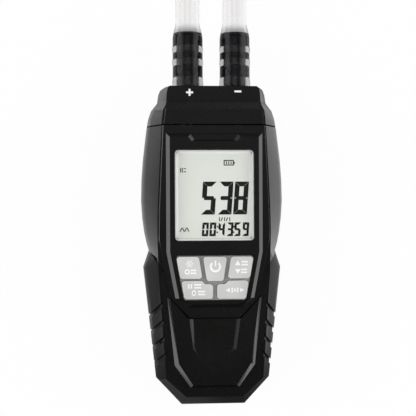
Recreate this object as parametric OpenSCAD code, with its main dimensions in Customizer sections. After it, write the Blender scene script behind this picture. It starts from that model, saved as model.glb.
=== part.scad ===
// Handheld differential manometer: two barbed hose ports, a display, five keys,
// ridged side grips and a sliding door over three AAA cells.
// It lies on its back. X is its width, Y runs towards the ports, Z comes out of the display.

/* [Housing] */
// Length of the housing without its ports
body_len = 126.5; // [124:0.5:132]
// Width of the housing at its widest
body_w = 57; // [56:0.5:62]
// Thickness from the back face to the raised display panel
body_t = 32; // [31.5:0.5:36]
// Wall of the moulded shells
wall = 1.8; // [1.4:0.1:2]
// Height of the joint between back and front shell over the back face
split_z = 16; // [15.2:0.1:16.5]
// Height at which the side walls start to lean inwards to the front
side_top_z = 16.5; // [16.5:0.5:18.5]
// Height of the console step over the front face
console_raise = 1.5; // [1:0.1:1.8]
// Height of the display panel over the console
panel_raise = 1; // [0.6:0.1:1.2]
// Length of the top cap as a share of the housing's length
cap_len_share = 0.124; // [0.12:0.001:0.13]
// Gap at the joint between top cap and shells
seam_gap = 0.55; // [0.2:0.05:0.6]

/* [Display] */
// Width of the display window as a share of the housing's width
window_w_share = 0.537; // [0.52:0.001:0.545]
// Height of the display window as a share of the housing's length
window_h_share = 0.2775; // [0.26:0.0005:0.28]
// Thickness of the display window
window_t = 1; // [0.8:0.1:1.2]
// Corner radius of the display window
window_r = 1.4; // [0.8:0.1:2]
// Place of the window's centre from the housing's lower end as a share of its length
window_y_share = 0.661; // [0.658:0.001:0.664]
// Depth of the window under the panel's face
window_inset = 0.3; // [0.1:0.1:0.5]
// Thickness of the display glass
glass_t = 2.4; // [1.8:0.1:2.6]
// Thickness of the light guide behind the glass
guide_t = 1.6; // [1.2:0.1:1.8]

/* [Keys] */
// Height of the keys over the display panel
key_proud = 0.6; // [0.4:0.1:0.8]
// Travel of a key
key_travel = 0.8; // [0.5:0.1:0.9]
// Clearance between a key and the mat around it
key_fit = 0.12; // [0.1:0.01:0.15]
// Corner radius of a key
key_r = 1.1; // [0.8:0.1:1.3]
// Depth of the keypad mat under the display panel
mat_sunk = 0.4; // [0.3:0.1:0.8]

/* [Ports] */
// Distance between the two hose ports
port_gap = 19; // [17.5:0.5:19.5]
// Height of the port axes over the back face
port_z = 16.5; // [16:0.5:17]
// Length of a port outside the housing
port_reach = 22.5; // [20:0.5:25]
// Diameter of the barbs
barb_d = 9.4; // [9:0.1:9.8]
// Diameter of the grooves between the barbs
neck_d = 7.4; // [7:0.1:8]
// Bore of a port
port_bore = 3.2; // [2.4:0.1:3.2]
// Diameter of the nipple inside the housing
nipple_d = 3.8; // [3.8:0.05:4]

/* [Hoses] */
// Outer diameter of a hose
hose_d = 9.5; // [9:0.1:9.6]
// Bore of a hose
hose_bore = 6.5; // [5:0.1:7]
// Outer diameter of a hose where it is stretched over the barbs
cuff_d = 12.1; // [11.8:0.1:12.4]
// Length of a hose from its port to its free end
hose_len = 350; // [330:5:380]
// Length of the straight free end of a hose
tip_len = 20; // [12:1:25]

/* [Battery] */
// Diameter of an AAA cell
cell_d = 10.5; // [10.3:0.1:10.5]
// Length of an AAA cell with its button
cell_len = 44.5; // [44:0.1:44.8]
// Distance between the axes of two cells
cell_pitch = 10.7; // [10.6:0.1:10.9]
// Thickness of the battery door
door_t = 2; // [1.6:0.1:2.2]
// Distance that the door slides before it lifts off
door_travel = 8; // [5:0.5:9]
// Clearance round the battery door
door_fit = 0.2; // [0.15:0.05:0.3]

/* [Board] */
// Thickness of the circuit board
board_t = 1.6; // [1.2:0.1:1.6]
// Distance of the board's lower end from the lower end of the housing
board_y = 14; // [13:0.5:16]

/* [Hidden] */

$fn = 48;
overrun = 1;                       // how far a cutting shape runs past a face
touch = 0.05;                      // play between pieces that rest on each other
overall_len = body_len + port_reach;
half_w = body_w / 2;
window_w = window_w_share * body_w;
window_h = window_h_share * body_len;
window_y = window_y_share * body_len;

// Heights, from the display panel down to the board
front_z = body_t - panel_raise - console_raise;   // the front face round the console
console_z = body_t - panel_raise;
window_top = body_t - window_inset;
window_ledge_t = 0.7;
skin_z = window_top - window_t - window_ledge_t;  // the inner face behind the window's ledge
glass_z = skin_z - touch - glass_t;
guide_z = glass_z - touch - guide_t;
guide_floor_t = 1;
frame_hollow = 1.2;
board_top = guide_z - guide_floor_t - frame_hollow;
board_z = board_top - board_t;
roof_z = front_z - wall;                          // inside of the front face
cap_seam = (1 - cap_len_share) * body_len;

// Outline of the housing from its lower end to its top, as seen from the front:
// share of the length and share of half the width, at the middle of the side walls and at the front
outline_shares = [
  [0,     0.446, 0.041, 0.393],
  [0.086, 0.800, 0.097, 0.667],
  [0.434, 0.972, 0.425, 0.765],
  [0.487, 0.891, 0.487, 0.772],
  [0.512, 0.925, 0.512, 0.775],
  [0.545, 0.957, 0.545, 0.778],
  [0.590, 0.984, 0.590, 0.776],
  [0.645, 1.000, 0.645, 0.768],
  [0.710, 0.993, 0.710, 0.755],
  [0.770, 0.974, 0.770, 0.741],
  [0.830, 0.943, 0.830, 0.727],
  [0.875, 0.918, 0.875, 0.716],
  [0.903, 0.895, 0.903, 0.707],
  [0.929, 0.856, 0.925, 0.694],
  [0.954, 0.770, 0.952, 0.628],
  [0.980, 0.752, 0.980, 0.622],
  [0.994, 0.728, 0.994, 0.608],
  [1,     0.690, 1,     0.580]
];
// Height of the two lower rings of the side walls as shares of the joint's height
back_edge_share = 0.16;
back_full_share = 0.5;
// Rounded start of the leaning side walls: shares of their height and of their lean
lean_shares = [[0.2, 0.07], [0.45, 0.27]];
// How far the back face and its chamfer stand in from the widest outline
back_inset = 2.5;
edge_inset = 0.6;

// Console, display panel and lower front: half width and distance from the lower end, as shares
console_shares = [[0.344, 0.286], [0.579, 0.342], [0.751, 0.524], [0.744, 0.62], [0.691, 0.876]];
panel_shares = [[0.368, 0.316], [0.540, 0.346], [0.660, 0.488], [0.660, 0.852]];
apron_foot_shares = [[0.333, 0.070], [0.552, 0.139], [0.648, 0.345]];
apron_face_shares = [[0.300, 0.078], [0.492, 0.144], [0.614, 0.345]];
scoop_rim_shares = [[0.182, 0.144], [0.296, 0.187], [0.364, 0.300]];
scoop_floor_shares = [[0.150, 0.198], [0.240, 0.215], [0.314, 0.300]];
panel_bevel = 1.5;
apron_sunk = 0.3;                  // depth of the lower front's face under the console
scoop_depth = 0.7;
groove_w = 0.6;                    // dark joint line round the console's lower end
logo_bay_shares = [[0.428, 0.853], [0.312, 0.827]];
logo_bay_depth = 0.7;

// Side grips: inner edge from the top facet down to the lower end, as shares
grip_shares = [
  [1.018, 0.521], [0.688, 0.430], [0.733, 0.416], [0.733, 0.371], [0.709, 0.364], [0.709, 0.319],
  [0.695, 0.303], [0.695, 0.263], [0.677, 0.248], [0.677, 0.208], [0.656, 0.196], [0.656, 0.103],
  [1.05, 0.03]
];
grip_gap = 0.08;
grip_groove_depth = 0.5;
grip_groove_w = 1.4;
grip_groove_tilt = 50;
grip_groove_shares = [0.307, 0.251, 0.196, 0.14];   // where each groove leaves the outline
grip_groove_len = 14;
grip_groove_mid_share = 0.79;
core_half = grip_shares[11][0] * half_w - wall;     // inside of the walls between the grips

// Keypad: its distance from the window and its height as shares of the housing's length
pad_gap_share = 0.0455;
pad_h_share = 0.137;
pad_half_share = 0.54;
pad_half = pad_half_share * half_w;
pad_h = pad_h_share * body_len;
pad_top = window_y - window_h / 2 - pad_gap_share * body_len;
// Keys: outlines from the middle line, as shares of the keypad's half width and height
pad_shares = [[-0.79, 0], [0.79, 0], [1, 1], [-1, 1]];
power_shares = [[-0.208, 0.43], [0.208, 0.43], [0.305, 0.975], [-0.305, 0.975]];
corner_key_shares = [[0.318, 0.485], [0.877, 0.485], [0.974, 0.975], [0.406, 0.975]];
wide_key_shares = [
  [0.052, 0.03], [0.773, 0.03], [0.851, 0.44], [0.338, 0.44], [0.253, 0.364], [0.052, 0.364]
];
pad_r = 1.2;
mat_margin = 1;
mat_skirt = 0.8;
pad_clear = 0.1;
key_lip_t = 0.8;
key_lip = 0.15;
contact_pad_t = 0.1;
contact_pad_d = 4;
key_rest_gap = 0.1;
key_z = board_top + contact_pad_t + key_travel + key_rest_gap;
mat_floor_z = key_z + key_lip_t + touch;
mat_top = body_t - mat_sunk;
key_top = body_t + key_proud;

// Battery bay
bay_fit = 0.25;
bay_half = cell_pitch + cell_d / 2 + bay_fit;
contact_t = 0.4;
spring_len = 4.2;
bay_y = 7.5;
bay_len = 2 * contact_t + spring_len + cell_len + 4 * touch;
cell_y = bay_y + contact_t + spring_len + 2 * touch;
cell_z = door_t + bay_fit + cell_d / 2;
bay_top = cell_z + cell_d / 2 + bay_fit;
bay_roof_t = 1.2;
spring_d = 6;
spring_wire = 0.7;
spring_turns = 3;
spring_sides = 6;
spring_steps = 12;                 // straight pieces in a turn
spring_taper_share = 0.35;
spring_end_share = 0.6;            // from a spring's end to the middle of its wire, as a share of the wire
contact_w_share = 0.8;
contact_h_share = 0.7;
button_d = 3.8;
button_len = 0.8;

// Door
door_lip = 1;
door_lip_t = 0.8;
door_half = bay_half + 0.2;
door_end = bay_y + bay_len - 2 * door_lip;
door_lip_len = 5;
door_lip_places = [bay_y + door_travel + overrun, door_end - 2 * door_lip_len];
door_tab_w = 3;
door_tab_len = 4;
door_grip_ribs = 5;
door_grip_pitch = 1.8;
door_grip_w = 0.9;
door_grip_depth = 0.5;
door_grip_len = 14;

// Bare recess for a label on the back
label_w_share = 0.6;
label_h_share = 0.17;
label_y_share = 0.71;
label_r = 2;
label_depth = 0.3;

// Screws and bosses
case_screw_shares = [[0.779, 0.826], [0.747, 0.518]];
case_screw_places = [for (s = case_screw_shares) [s[0] * half_w, s[1] * body_len]];
case_screw_d = 2.4;
case_head_d = 4.2;
case_head_h = 1.6;
case_head_z = 10;
boss_d = 5;
front_boss_share = 0.6875;
front_boss_top = front_boss_share * body_t;
screw_fit = 0.05;
board_screw_x_share = 0.456;
board_screw_edge = 4.4;            // from the upper screws to the cap's joint
board_screw_end = 6;               // from the lower screws to the board's end
board_screw_x = board_screw_x_share * half_w;
board_screw_places = [
  [board_screw_x, cap_seam - board_screw_edge], [board_screw_x, board_y + board_screw_end]
];
board_screw_d = 1.7;
board_head_d = 3.4;
board_head_h = 1.2;
board_boss_d = 4;

// Board
board_play = 0.6;
board_half_low = core_half - board_play;
board_high_share = 0.642;
board_half_high = board_high_share * half_w;
board_top_y = cap_seam - wall;
board_step_y = pad_top + mat_margin + 2 * board_play;

// Display holder
frame_wall = 0.9;
glass_margin = 1.6;                // glass hidden behind the front on each side
glass_w = window_w + 2 * glass_margin;
glass_h = window_h + 2 * glass_margin;
frame_w = glass_w + 2 * touch + 2 * frame_wall;
frame_h = glass_h + 2 * touch + 2 * frame_wall;
guide_margin = 0.8;
zebra_margin = 0.4;
zebra_d = 2.6;
guide_w = glass_w - 2 * guide_margin;
guide_h = glass_h - guide_margin - 2 * zebra_d;
zebra_w = glass_w - 5 * guide_margin;
frame_y = window_y;
window_ledge = 0.5;
window_fit = 0.1;

// Ports: radius and place along the port from the cap's face, as shares of its reach
port_collar_d = 10.8;
port_collar_t = 0.9;
barb_shares = [[0.21, 0.422], [0.533, 0.658], [0.764, 0.93]];
barb_tip_share = 0.94;
stem_d = 8;
stem_fit = 0.05;
stem_len = 7;
nipple_len = 7;
cap_end_t = 2;
seal_t = 0.8;
seal_d = 11.2;
nut_flats = 11;
nut_t = 3;
nut_sides = 6;
sensor_w = 22;
sensor_l = 12;
sensor_under = 3.2;                 // from the nozzles' axes to the underside of the sensor
sensor_h = board_z - touch - (port_z - sensor_under);
sensor_gap = 10;
tube_len = 21.5;
sensor_y = body_len - stem_len - tube_len - sensor_l;
tube_d = 5.6;
tube_bore = 4.1;
tube_sides = 12;
tube_rings = 9;

// Cap fittings
cap_tab_w = 16;
cap_tab_t = 1.5;
cap_tab_len = 4;
cap_root = 3;
block_drop = 3;                    // how far the block round the ports stands back from the console
block_slope = 3.6;
block_len = 5.8;

// Hoses: from the ports down to the surface, up to a fold and back beside it
cuff_gap = 0.2;
cuff_wall_in = 0.02;
cuff_taper = 5;
cuff_end_len = 2;
cuff_shoulder = 0.4;
cuff_upper_share = 0.2;
cuff_start = port_collar_t + cuff_gap;
cuff_len = port_reach + cuff_taper + cuff_end_len - cuff_start;
hose_sides = 10;
tie_t = 0.5;
tie_w = 12;
tie_fit = 0.1;
tie_slack = 0.7;
tie_round_share = 0.46;
tie_end_gap = 1;                   // from the tie to the start of the fold
hose_z = hose_d / 2 + tie_t + tie_fit;   // height of a hose's axis over the surface
drop_y = overall_len / 2 + cuff_taper + cuff_end_len;
drop_straight = 10;                // straight length before a hose starts to drop
drop_steps = 8;
fold_x = 15;
fold_y = 210;
fold_step = 15;                    // degrees between the rings of the fold
fold_r_inner = 29;
fold_r_outer = 39;

// Points of a symmetric outline at one height, from rows of half width and place along Y
function ring_points(rows, z) = concat(
  [for (r = rows) [r[0], r[1], z]],
  [for (i = [len(rows) - 1 : -1 : 0]) [-rows[i][0], rows[i][1], z]]
);

// Rows in millimetres, drawn in by an inset all round
function sized_rows(shares, inset) = [
  for (i = [0 : len(shares) - 1]) [
    shares[i][0] * half_w - inset,
    shares[i][1] * body_len + (i == 0 ? inset : 0) - (i == len(shares) - 1 ? inset : 0)
  ]
];
function outline_rows(x_column, y_column, inset) = [
  for (s = outline_shares) [s[x_column] * half_w - inset, inset + s[y_column] * (body_len - 2 * inset)]
];
function middle_rows(inset) = outline_rows(1, 0, inset);
function front_rows(inset) = outline_rows(3, 2, inset);

// Solid through rings of points at rising heights, closed at both ends by strips between a row's two points
module loft(rings) {
  n = len(rings[0]);
  last = (len(rings) - 1) * n;
  below = [for (i = [0 : n / 2 - 2]) [i, i + 1, n - 2 - i, n - 1 - i]];
  above = [for (i = [0 : n / 2 - 2]) [last + n - 1 - i, last + n - 2 - i, last + i + 1, last + i]];
  sides = [for (j = [0 : len(rings) - 2], i = [0 : n - 1], half = [0, 1])
    let (a = j * n + i, b = j * n + (i + 1) % n)
    half == 0 ? [a, a + n, b + n] : [a, b + n, b]];
  polyhedron([for (r = rings) each r], concat(below, sides, above));
}

function lean_ring(i, inset) = ring_points(
  (1 - lean_shares[i][1]) * middle_rows(inset) + lean_shares[i][1] * front_rows(inset),
  side_top_z + lean_shares[i][0] * (front_z - inset - side_top_z)
);

// The housing's outer form, or a smaller one inside it
module housing_form(inset) {
  loft([
    ring_points(middle_rows(back_inset + inset), inset),
    ring_points(middle_rows(edge_inset + inset), max(split_z * back_edge_share, 2 * inset)),
    ring_points(middle_rows(inset), split_z * back_full_share),
    ring_points(middle_rows(inset), side_top_z),
    lean_ring(0, inset),
    lean_ring(1, inset),
    ring_points(front_rows(inset), front_z - inset)
  ]);
}

// Box across the whole housing between two places along Y and two heights
module slab(y0, y1, z0, z1, half = half_w + overrun) {
  translate([-half, y0, z0]) cube([2 * half, y1 - y0, z1 - z0]);
}

// Everything is drawn from the lower end of the housing and then centred on its length
module placed() {
  translate([0, -overall_len / 2, 0]) children();
}

// Outline moved outwards by a distance, its points in anticlockwise order
function edge_normal(p, i) =
  let (a = p[i], b = p[(i + 1) % len(p)], d = (b - a) / norm(b - a)) [d[1], -d[0]];
function grown(p, by) = [
  for (i = [0 : len(p) - 1])
    let (m = edge_normal(p, (i + len(p) - 1) % len(p)), n = edge_normal(p, i))
    p[i] + by * (m + n) / (1 + m * n)
];

// Outline with its corners rounded
round_steps = 4;
full_turn = 360;
function corner(a, b, c, r) =
  let (
    u = (a - b) / norm(a - b),
    v = (c - b) / norm(c - b),
    half = acos(max(-1, min(1, u * v))) / 2,
    centre = b + (u + v) / norm(u + v) * r / sin(half),
    p = b + u * r / tan(half) - centre,
    q = b + v * r / tan(half) - centre,
    from = atan2(p[1], p[0]),
    turn = (atan2(q[1], q[0]) - from + 1.5 * full_turn) % full_turn - full_turn / 2
  )
  [for (k = [0 : round_steps])
    centre + r * [cos(from + turn * k / round_steps), sin(from + turn * k / round_steps)]];
function rounded(p, r) = [
  for (i = [0 : len(p) - 1]) each corner(p[(i + len(p) - 1) % len(p)], p[i], p[(i + 1) % len(p)], r)
];

module plate(points, z0, z1) {
  translate([0, 0, z0]) linear_extrude(z1 - z0) polygon(points);
}

function box_outline(w, h, y) = [
  [-w / 2, y - h / 2], [w / 2, y - h / 2], [w / 2, y + h / 2], [-w / 2, y + h / 2]
];

// Tube swept along points, its rings square to the route
function unit(v) = v / norm(v);
function heading(p, i) = unit(p[min(i + 1, len(p) - 1)] - p[max(i - 1, 0)]);
function sweep_ring(p, i, r, ref, sides) =
  let (t = heading(p, i), s = unit(cross(t, ref)), u = cross(s, t))
  [for (k = [0 : sides - 1])
    p[i] + r * (cos(k * full_turn / sides) * s + sin(k * full_turn / sides) * u)];
module sweep(p, r, ref, sides) {
  n = sides;
  last = (len(p) - 1) * n;
  skin = [for (j = [0 : len(p) - 2], i = [0 : n - 1], half = [0, 1])
    let (a = j * n + i, b = j * n + (i + 1) % n)
    half == 0 ? [a, b, b + n] : [a, b + n, a + n]];
  polyhedron(
    [for (i = [0 : len(p) - 1]) each sweep_ring(p, i, r, ref, sides)],
    concat([[for (i = [n - 1 : -1 : 0]) i]], skin, [[for (i = [0 : n - 1]) last + i]])
  );
}

// Route of a hose: a straight start, an even drop to the surface, the fold and the way back
function eased(s) = s * s * (3 - 2 * s);
function drop_route(side, r) =
  let (x0 = side * port_gap / 2, x1 = fold_x - r, y0 = drop_y + drop_straight)
  concat([[x0, drop_y, port_z]], [
    for (k = [0 : drop_steps])
      let (s = k / drop_steps, e = eased(s))
      [x0 + (x1 - x0) * e, y0 + (fold_y - y0) * s, port_z + (hose_z - port_z) * e]
  ]);
function fold_route(r) = [
  for (a = [full_turn / 2 - fold_step : -fold_step : 0]) [fold_x + r * cos(a), fold_y + r * sin(a), hose_z]
];
function route_length(p, i = 0) = i == len(p) - 1 ? 0 : norm(p[i + 1] - p[i]) + route_length(p, i + 1);
function back_end(p) = fold_y - (hose_len - cuff_len - route_length(p) - tip_len);
function closed_route(p) = concat(p, [[p[len(p) - 1][0], back_end(p), hose_z]]);
function hose_route(side, r) = closed_route(concat(drop_route(side, r), fold_route(r)));

// Housing
module cavity() {
  intersection() {
    housing_form(wall);
    union() {
      slab(board_step_y, cap_seam + overrun, 0, body_t);
      slab(0, board_step_y + wall, bay_top + bay_roof_t, body_t, core_half);
    }
  }
}

module grip_zone(side, by) {
  zone = [for (s = grip_shares) [s[0] * half_w, s[1] * body_len]];
  mirror([side > 0 ? 0 : 1, 0, 0])
    plate(grown(concat(zone, [[body_w, 0], [body_w, zone[0][1]]]), by), -overrun, body_t);
}

module mirrored() {
  children();
  mirror([1, 0, 0]) children();
}

module case_bosses(z0, z1) {
  mirrored()
    for (p = case_screw_places)
      translate([p[0], p[1], z0]) {
        cylinder(h = z1 - z0, d = boss_d);
        translate([0, -wall / 2, 0]) cube([boss_d / 2 + 2 * touch, wall, z1 - z0]);
      }
}

module door_space() {
  slab(-overrun, door_end + door_fit, -overrun, door_t + touch, door_half + door_fit);
  for (y = door_lip_places) {
    slab(y - door_travel - door_fit, y + door_lip_len + door_fit, door_t, door_t + door_lip_t + 2 * door_fit,
      door_half + door_lip + door_fit);
    slab(y - door_travel - door_fit, y - door_travel + door_lip_len + door_fit, -overrun, door_t + touch,
      door_half + door_lip + door_fit);
  }
}

function label_outline() =
  box_outline(label_w_share * body_w, label_h_share * body_len, label_y_share * body_len);

module back_shell() {
  color("dimgray")
  difference() {
    union() {
      intersection() {
        difference() {
          housing_form(0);
          cavity();
        }
        slab(-overrun, cap_seam, -overrun, split_z);
      }
      intersection() {
        housing_form(edge_inset);
        case_bosses(overrun, split_z);
      }
      slab(wall + touch, 2 * wall, bay_top, split_z + 2 * wall, door_tab_w);
    }
    grip_zone(1, grip_gap);
    grip_zone(-1, grip_gap);
    door_space();
    plate(rounded(label_outline(), label_r), -overrun, label_depth);
    slab(bay_y, bay_y + bay_len, door_t, bay_top, bay_half);
    mirrored()
      translate([cell_pitch / 2 - door_tab_w / 2 - door_fit, door_end - overrun, door_t])
        cube([door_tab_w + 2 * door_fit, door_tab_len + door_fit + overrun, door_lip_t + 2 * door_fit]);
    mirrored()
      for (p = case_screw_places) translate([p[0], p[1], -overrun]) {
        cylinder(h = case_head_z + overrun, d = case_head_d + 2 * screw_fit);
        cylinder(h = body_t, d = case_screw_d + 2 * screw_fit);
      }
  }
}

module console() {
  loft([
    ring_points(sized_rows(console_shares, -console_raise / 2), front_z - overrun),
    ring_points(sized_rows(console_shares, 0), console_z)
  ]);
}

module display_panel() {
  loft([
    ring_points(sized_rows(panel_shares, 0), console_z - touch),
    ring_points(sized_rows(panel_shares, panel_bevel), body_t)
  ]);
}

module apron() {
  difference() {
    loft([
      ring_points(sized_rows(apron_foot_shares, 0), front_z - touch),
      ring_points(sized_rows(apron_face_shares, 0), console_z - apron_sunk)
    ]);
    plate(grown(flat(ring_points(sized_rows(console_shares, 0), 0)), groove_w), front_z, body_t);
    loft([
      ring_points(sized_rows(scoop_floor_shares, 0), console_z - apron_sunk - scoop_depth),
      ring_points(sized_rows(scoop_rim_shares, 0), console_z - apron_sunk + touch)
    ]);
  }
}
function flat(points) = [for (p = points) [p[0], p[1]]];

module logo_bay() {
  a = logo_bay_shares[0];
  b = logo_bay_shares[1];
  plate([[-b[0] * half_w, b[1] * body_len], [b[0] * half_w, b[1] * body_len],
    [a[0] * half_w, a[1] * body_len + overrun], [-a[0] * half_w, a[1] * body_len + overrun]],
    body_t - logo_bay_depth, body_t + overrun);
}

module front_shell() {
  color("black")
  difference() {
    union() {
      intersection() {
        union() {
          difference() {
            union() {
              housing_form(0);
              console();
              display_panel();
              apron();
            }
            cavity();
          }
          intersection() {
            housing_form(edge_inset);
            case_bosses(split_z, front_boss_top);
          }
          mirrored()
            for (p = board_screw_places)
              translate([p[0], p[1], board_top]) cylinder(h = roof_z - board_top + overrun, d = board_boss_d);
        }
        slab(-overrun, cap_seam, split_z, body_t + overrun);
      }
    }
    grip_zone(1, grip_gap);
    grip_zone(-1, grip_gap);
    logo_bay();
    plate(box_outline(frame_w + 4 * touch, frame_h + 4 * touch, frame_y), board_top, skin_z);
    plate(window_outline(-window_ledge), board_top, body_t + overrun);
    plate(window_outline(window_fit), window_top - window_t, body_t + overrun);
    plate(rounded(pad_outline(0), pad_r), board_top, body_t + overrun);
    mirrored()
      for (p = case_screw_places)
        translate([p[0], p[1], 0]) cylinder(h = front_boss_top - wall, d = case_screw_d + 2 * screw_fit);
    mirrored()
      for (p = board_screw_places)
        translate([p[0], p[1], 0]) cylinder(h = roof_z, d = board_screw_d + 2 * screw_fit);
  }
}

module cap_profile() {
  rotate([90, 0, 90])
    translate([0, 0, -half_w - overrun])
      linear_extrude(body_w + 2 * overrun)
        polygon([
          [cap_seam + seam_gap, -overrun],
          [body_len + overrun, -overrun],
          [body_len + overrun, console_z - block_drop],
          [body_len - block_len, console_z - block_drop],
          [body_len - block_len - block_slope, console_z],
          [cap_seam + seam_gap, console_z]
        ]);
}

cap_front_shares = [[0.700, 0.85], [0.668, 0.925], [0.602, 0.952], [0.598, 0.98]];
module cap_front() {
  loft([
    ring_points(sized_rows(cap_front_shares, -console_raise / 2), front_z - console_raise),
    ring_points(sized_rows(cap_front_shares, console_raise / 2), console_z + console_raise)
  ]);
}

// Tab of the cap that reaches into the shells, and its thicker root between two heights
module cap_tab(z0, root_z0, root_z1) {
  slab(cap_seam - cap_tab_len, cap_seam + cap_root, z0, z0 + cap_tab_t, cap_tab_w / 2);
  slab(cap_seam + 2 * seam_gap, cap_seam + cap_root, root_z0, root_z1, cap_tab_w / 2);
}

module top_cap() {
  color("dimgray")
  difference() {
    union() {
      difference() {
        intersection() {
          union() {
            housing_form(0);
            cap_front();
          }
          cap_profile();
        }
        intersection() {
          housing_form(wall);
          slab(0, body_len - cap_end_t, 0, console_z - block_drop - wall);
        }
      }
      cap_tab(wall + touch, wall / 2, wall + touch + cap_tab_t);
      cap_tab(roof_z - touch - cap_tab_t, roof_z - touch - cap_tab_t, roof_z + wall / 2);
    }
    for (side = [-1, 1])
      along_port(side) cylinder(h = 2 * cap_end_t, d = stem_d + 2 * stem_fit, center = true);
  }
}

module grip_right() {
  color("#2b2b29")
  difference() {
    intersection() {
      housing_form(0);
      grip_zone(1, 0);
    }
    difference() {
      for (s = grip_groove_shares)
        translate([grip_groove_mid_share * half_w, s * body_len, -overrun])
          rotate([0, 0, -grip_groove_tilt])
            translate([-grip_groove_len / 2, -grip_groove_w / 2, 0])
              cube([grip_groove_len, grip_groove_w, body_t]);
      housing_form(grip_groove_depth);
    }
  }
}
module grip_left() {
  mirror([1, 0, 0]) grip_right();
}

// Battery compartment
module battery_door() {
  color("dimgray")
  difference() {
    union() {
      intersection() {
        housing_form(0);
        slab(0, door_end, -overrun, door_t, door_half);
      }
      mirrored()
        for (y = door_lip_places)
          translate([door_half - overrun, y, door_t - door_lip_t]) {
            cube([overrun, door_lip_len, 2 * door_lip_t + door_fit]);
            translate([0, 0, door_lip_t + door_fit]) cube([overrun + door_lip, door_lip_len, door_lip_t]);
          }
      mirrored()
        translate([cell_pitch / 2 - door_tab_w / 2, door_end - door_tab_len, door_t - wall / 2]) {
          cube([door_tab_w, door_tab_len, door_lip_t + door_fit + wall / 2]);
          translate([0, 0, door_fit + wall / 2]) cube([door_tab_w, 2 * door_tab_len, door_lip_t]);
        }
    }
    for (i = [0 : door_grip_ribs - 1])
      translate([-door_grip_len / 2, bay_y + overrun + i * door_grip_pitch, -overrun])
        cube([door_grip_len, door_grip_w, overrun + door_grip_depth]);
  }
}

module cell(i) {
  flip = i == 0 ? 1 : 0;
  color("goldenrod")
  translate([i * cell_pitch, cell_y + (flip == 1 ? cell_len : 0), cell_z])
    rotate([flip == 1 ? 90 : -90, 0, 0]) {
      cylinder(h = cell_len - button_len, d = cell_d);
      translate([0, 0, cell_len - button_len - touch]) cylinder(h = button_len + touch, d = button_d);
    }
}
module cell_left() cell(-1);
module cell_middle() cell(0);
module cell_right() cell(1);

// Conical contact springs, one under each cell's lower end
function spring_route(x) = [
  for (k = [0 : spring_steps * spring_turns])
    let (
      s = k / (spring_steps * spring_turns),
      r = (spring_d - spring_wire) / 2 * (1 - spring_taper_share * s),
      turn = k * full_turn / spring_steps,
      end = spring_end_share * spring_wire
    )
    [x + r * cos(turn), bay_y + contact_t + touch + end + s * (spring_len - 2 * end), cell_z + r * sin(turn)]
];
module contact_springs() {
  color("silver")
  for (i = [-1 : 1]) sweep(spring_route(i * cell_pitch), spring_wire / 2, [0, 1, 0], spring_sides);
}

module contact_plates() {
  color("silver")
  for (y = [bay_y + touch, bay_y + bay_len - contact_t - touch], i = [-1 : 1])
    translate([i * cell_pitch - contact_w_share * cell_d / 2, y, cell_z - contact_h_share * cell_d / 2])
      cube([contact_w_share * cell_d, contact_t, contact_h_share * cell_d]);
}

// Electronics
module main_board() {
  color("seagreen")
  difference() {
    plate([
      [-board_half_low, board_y], [board_half_low, board_y], [board_half_low, board_step_y],
      [board_half_high, board_step_y], [board_half_high, board_top_y],
      [-board_half_high, board_top_y], [-board_half_high, board_step_y], [-board_half_low, board_step_y]
    ], board_z, board_top);
    mirrored()
      for (p = board_screw_places)
        translate([p[0], p[1], 0]) cylinder(h = body_t, d = board_screw_d + 4 * screw_fit);
  }
}

chip_t = 1.5;
chip_size_share = 0.55;
chip_y_share = 0.48;
small_chip_share = 0.5;
can_offset_share = 1.4;
chip_size = chip_size_share * board_half_low;
chip_y = board_y + chip_y_share * (board_step_y - board_y);
module board_chips() {
  color("#202020") {
    translate([-chip_size / 2, chip_y, board_z - chip_t]) cube([chip_size, chip_size, chip_t]);
    translate([chip_size, chip_y + chip_t, board_z - chip_t])
      cube([small_chip_share * chip_size, chip_size, chip_t]);
    translate([-can_offset_share * chip_size, chip_y + 2 * chip_t, board_z - 2 * chip_t])
      cylinder(h = 2 * chip_t, d = small_chip_share * chip_size);
  }
  color("gold")
  for (p = key_centres()) translate([p[0], p[1], board_top]) cylinder(h = contact_pad_t, d = contact_pad_d);
}
function middle(p, i = 0) = i == len(p) - 1 ? p[i] : p[i] + middle(p, i + 1);
function centre_of(p) = middle(p) / len(p);
function key_centres() = [
  for (o = [
    key_outline(power_shares, 1, 0),
    key_outline(corner_key_shares, 1, 0), key_outline(corner_key_shares, -1, 0),
    key_outline(wide_key_shares, 1, 0), key_outline(wide_key_shares, -1, 0)
  ]) centre_of(o)
];

module along_port(side) {
  translate([side * port_gap / 2, body_len, port_z]) rotate([-90, 0, 0]) children();
}

sensor_top_y = sensor_y + sensor_l;
module pressure_sensor() {
  color("#1c1c1c")
  translate([0, sensor_y, board_z - touch - sensor_h]) difference() {
    union() {
      translate([-sensor_w / 2, 0, 0]) cube([sensor_w, sensor_l, sensor_h]);
      for (side = [-1, 1])
        translate([side * sensor_gap / 2, sensor_l, port_z - (board_z - touch - sensor_h)])
          rotate([-90, 0, 0]) cylinder(h = nipple_len, d = nipple_d);
    }
    for (side = [-1, 1])
      translate([side * sensor_gap / 2, sensor_l / 2, port_z - (board_z - touch - sensor_h)])
        rotate([-90, 0, 0]) cylinder(h = sensor_l, d = nipple_d / 2);
  }
}

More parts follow.
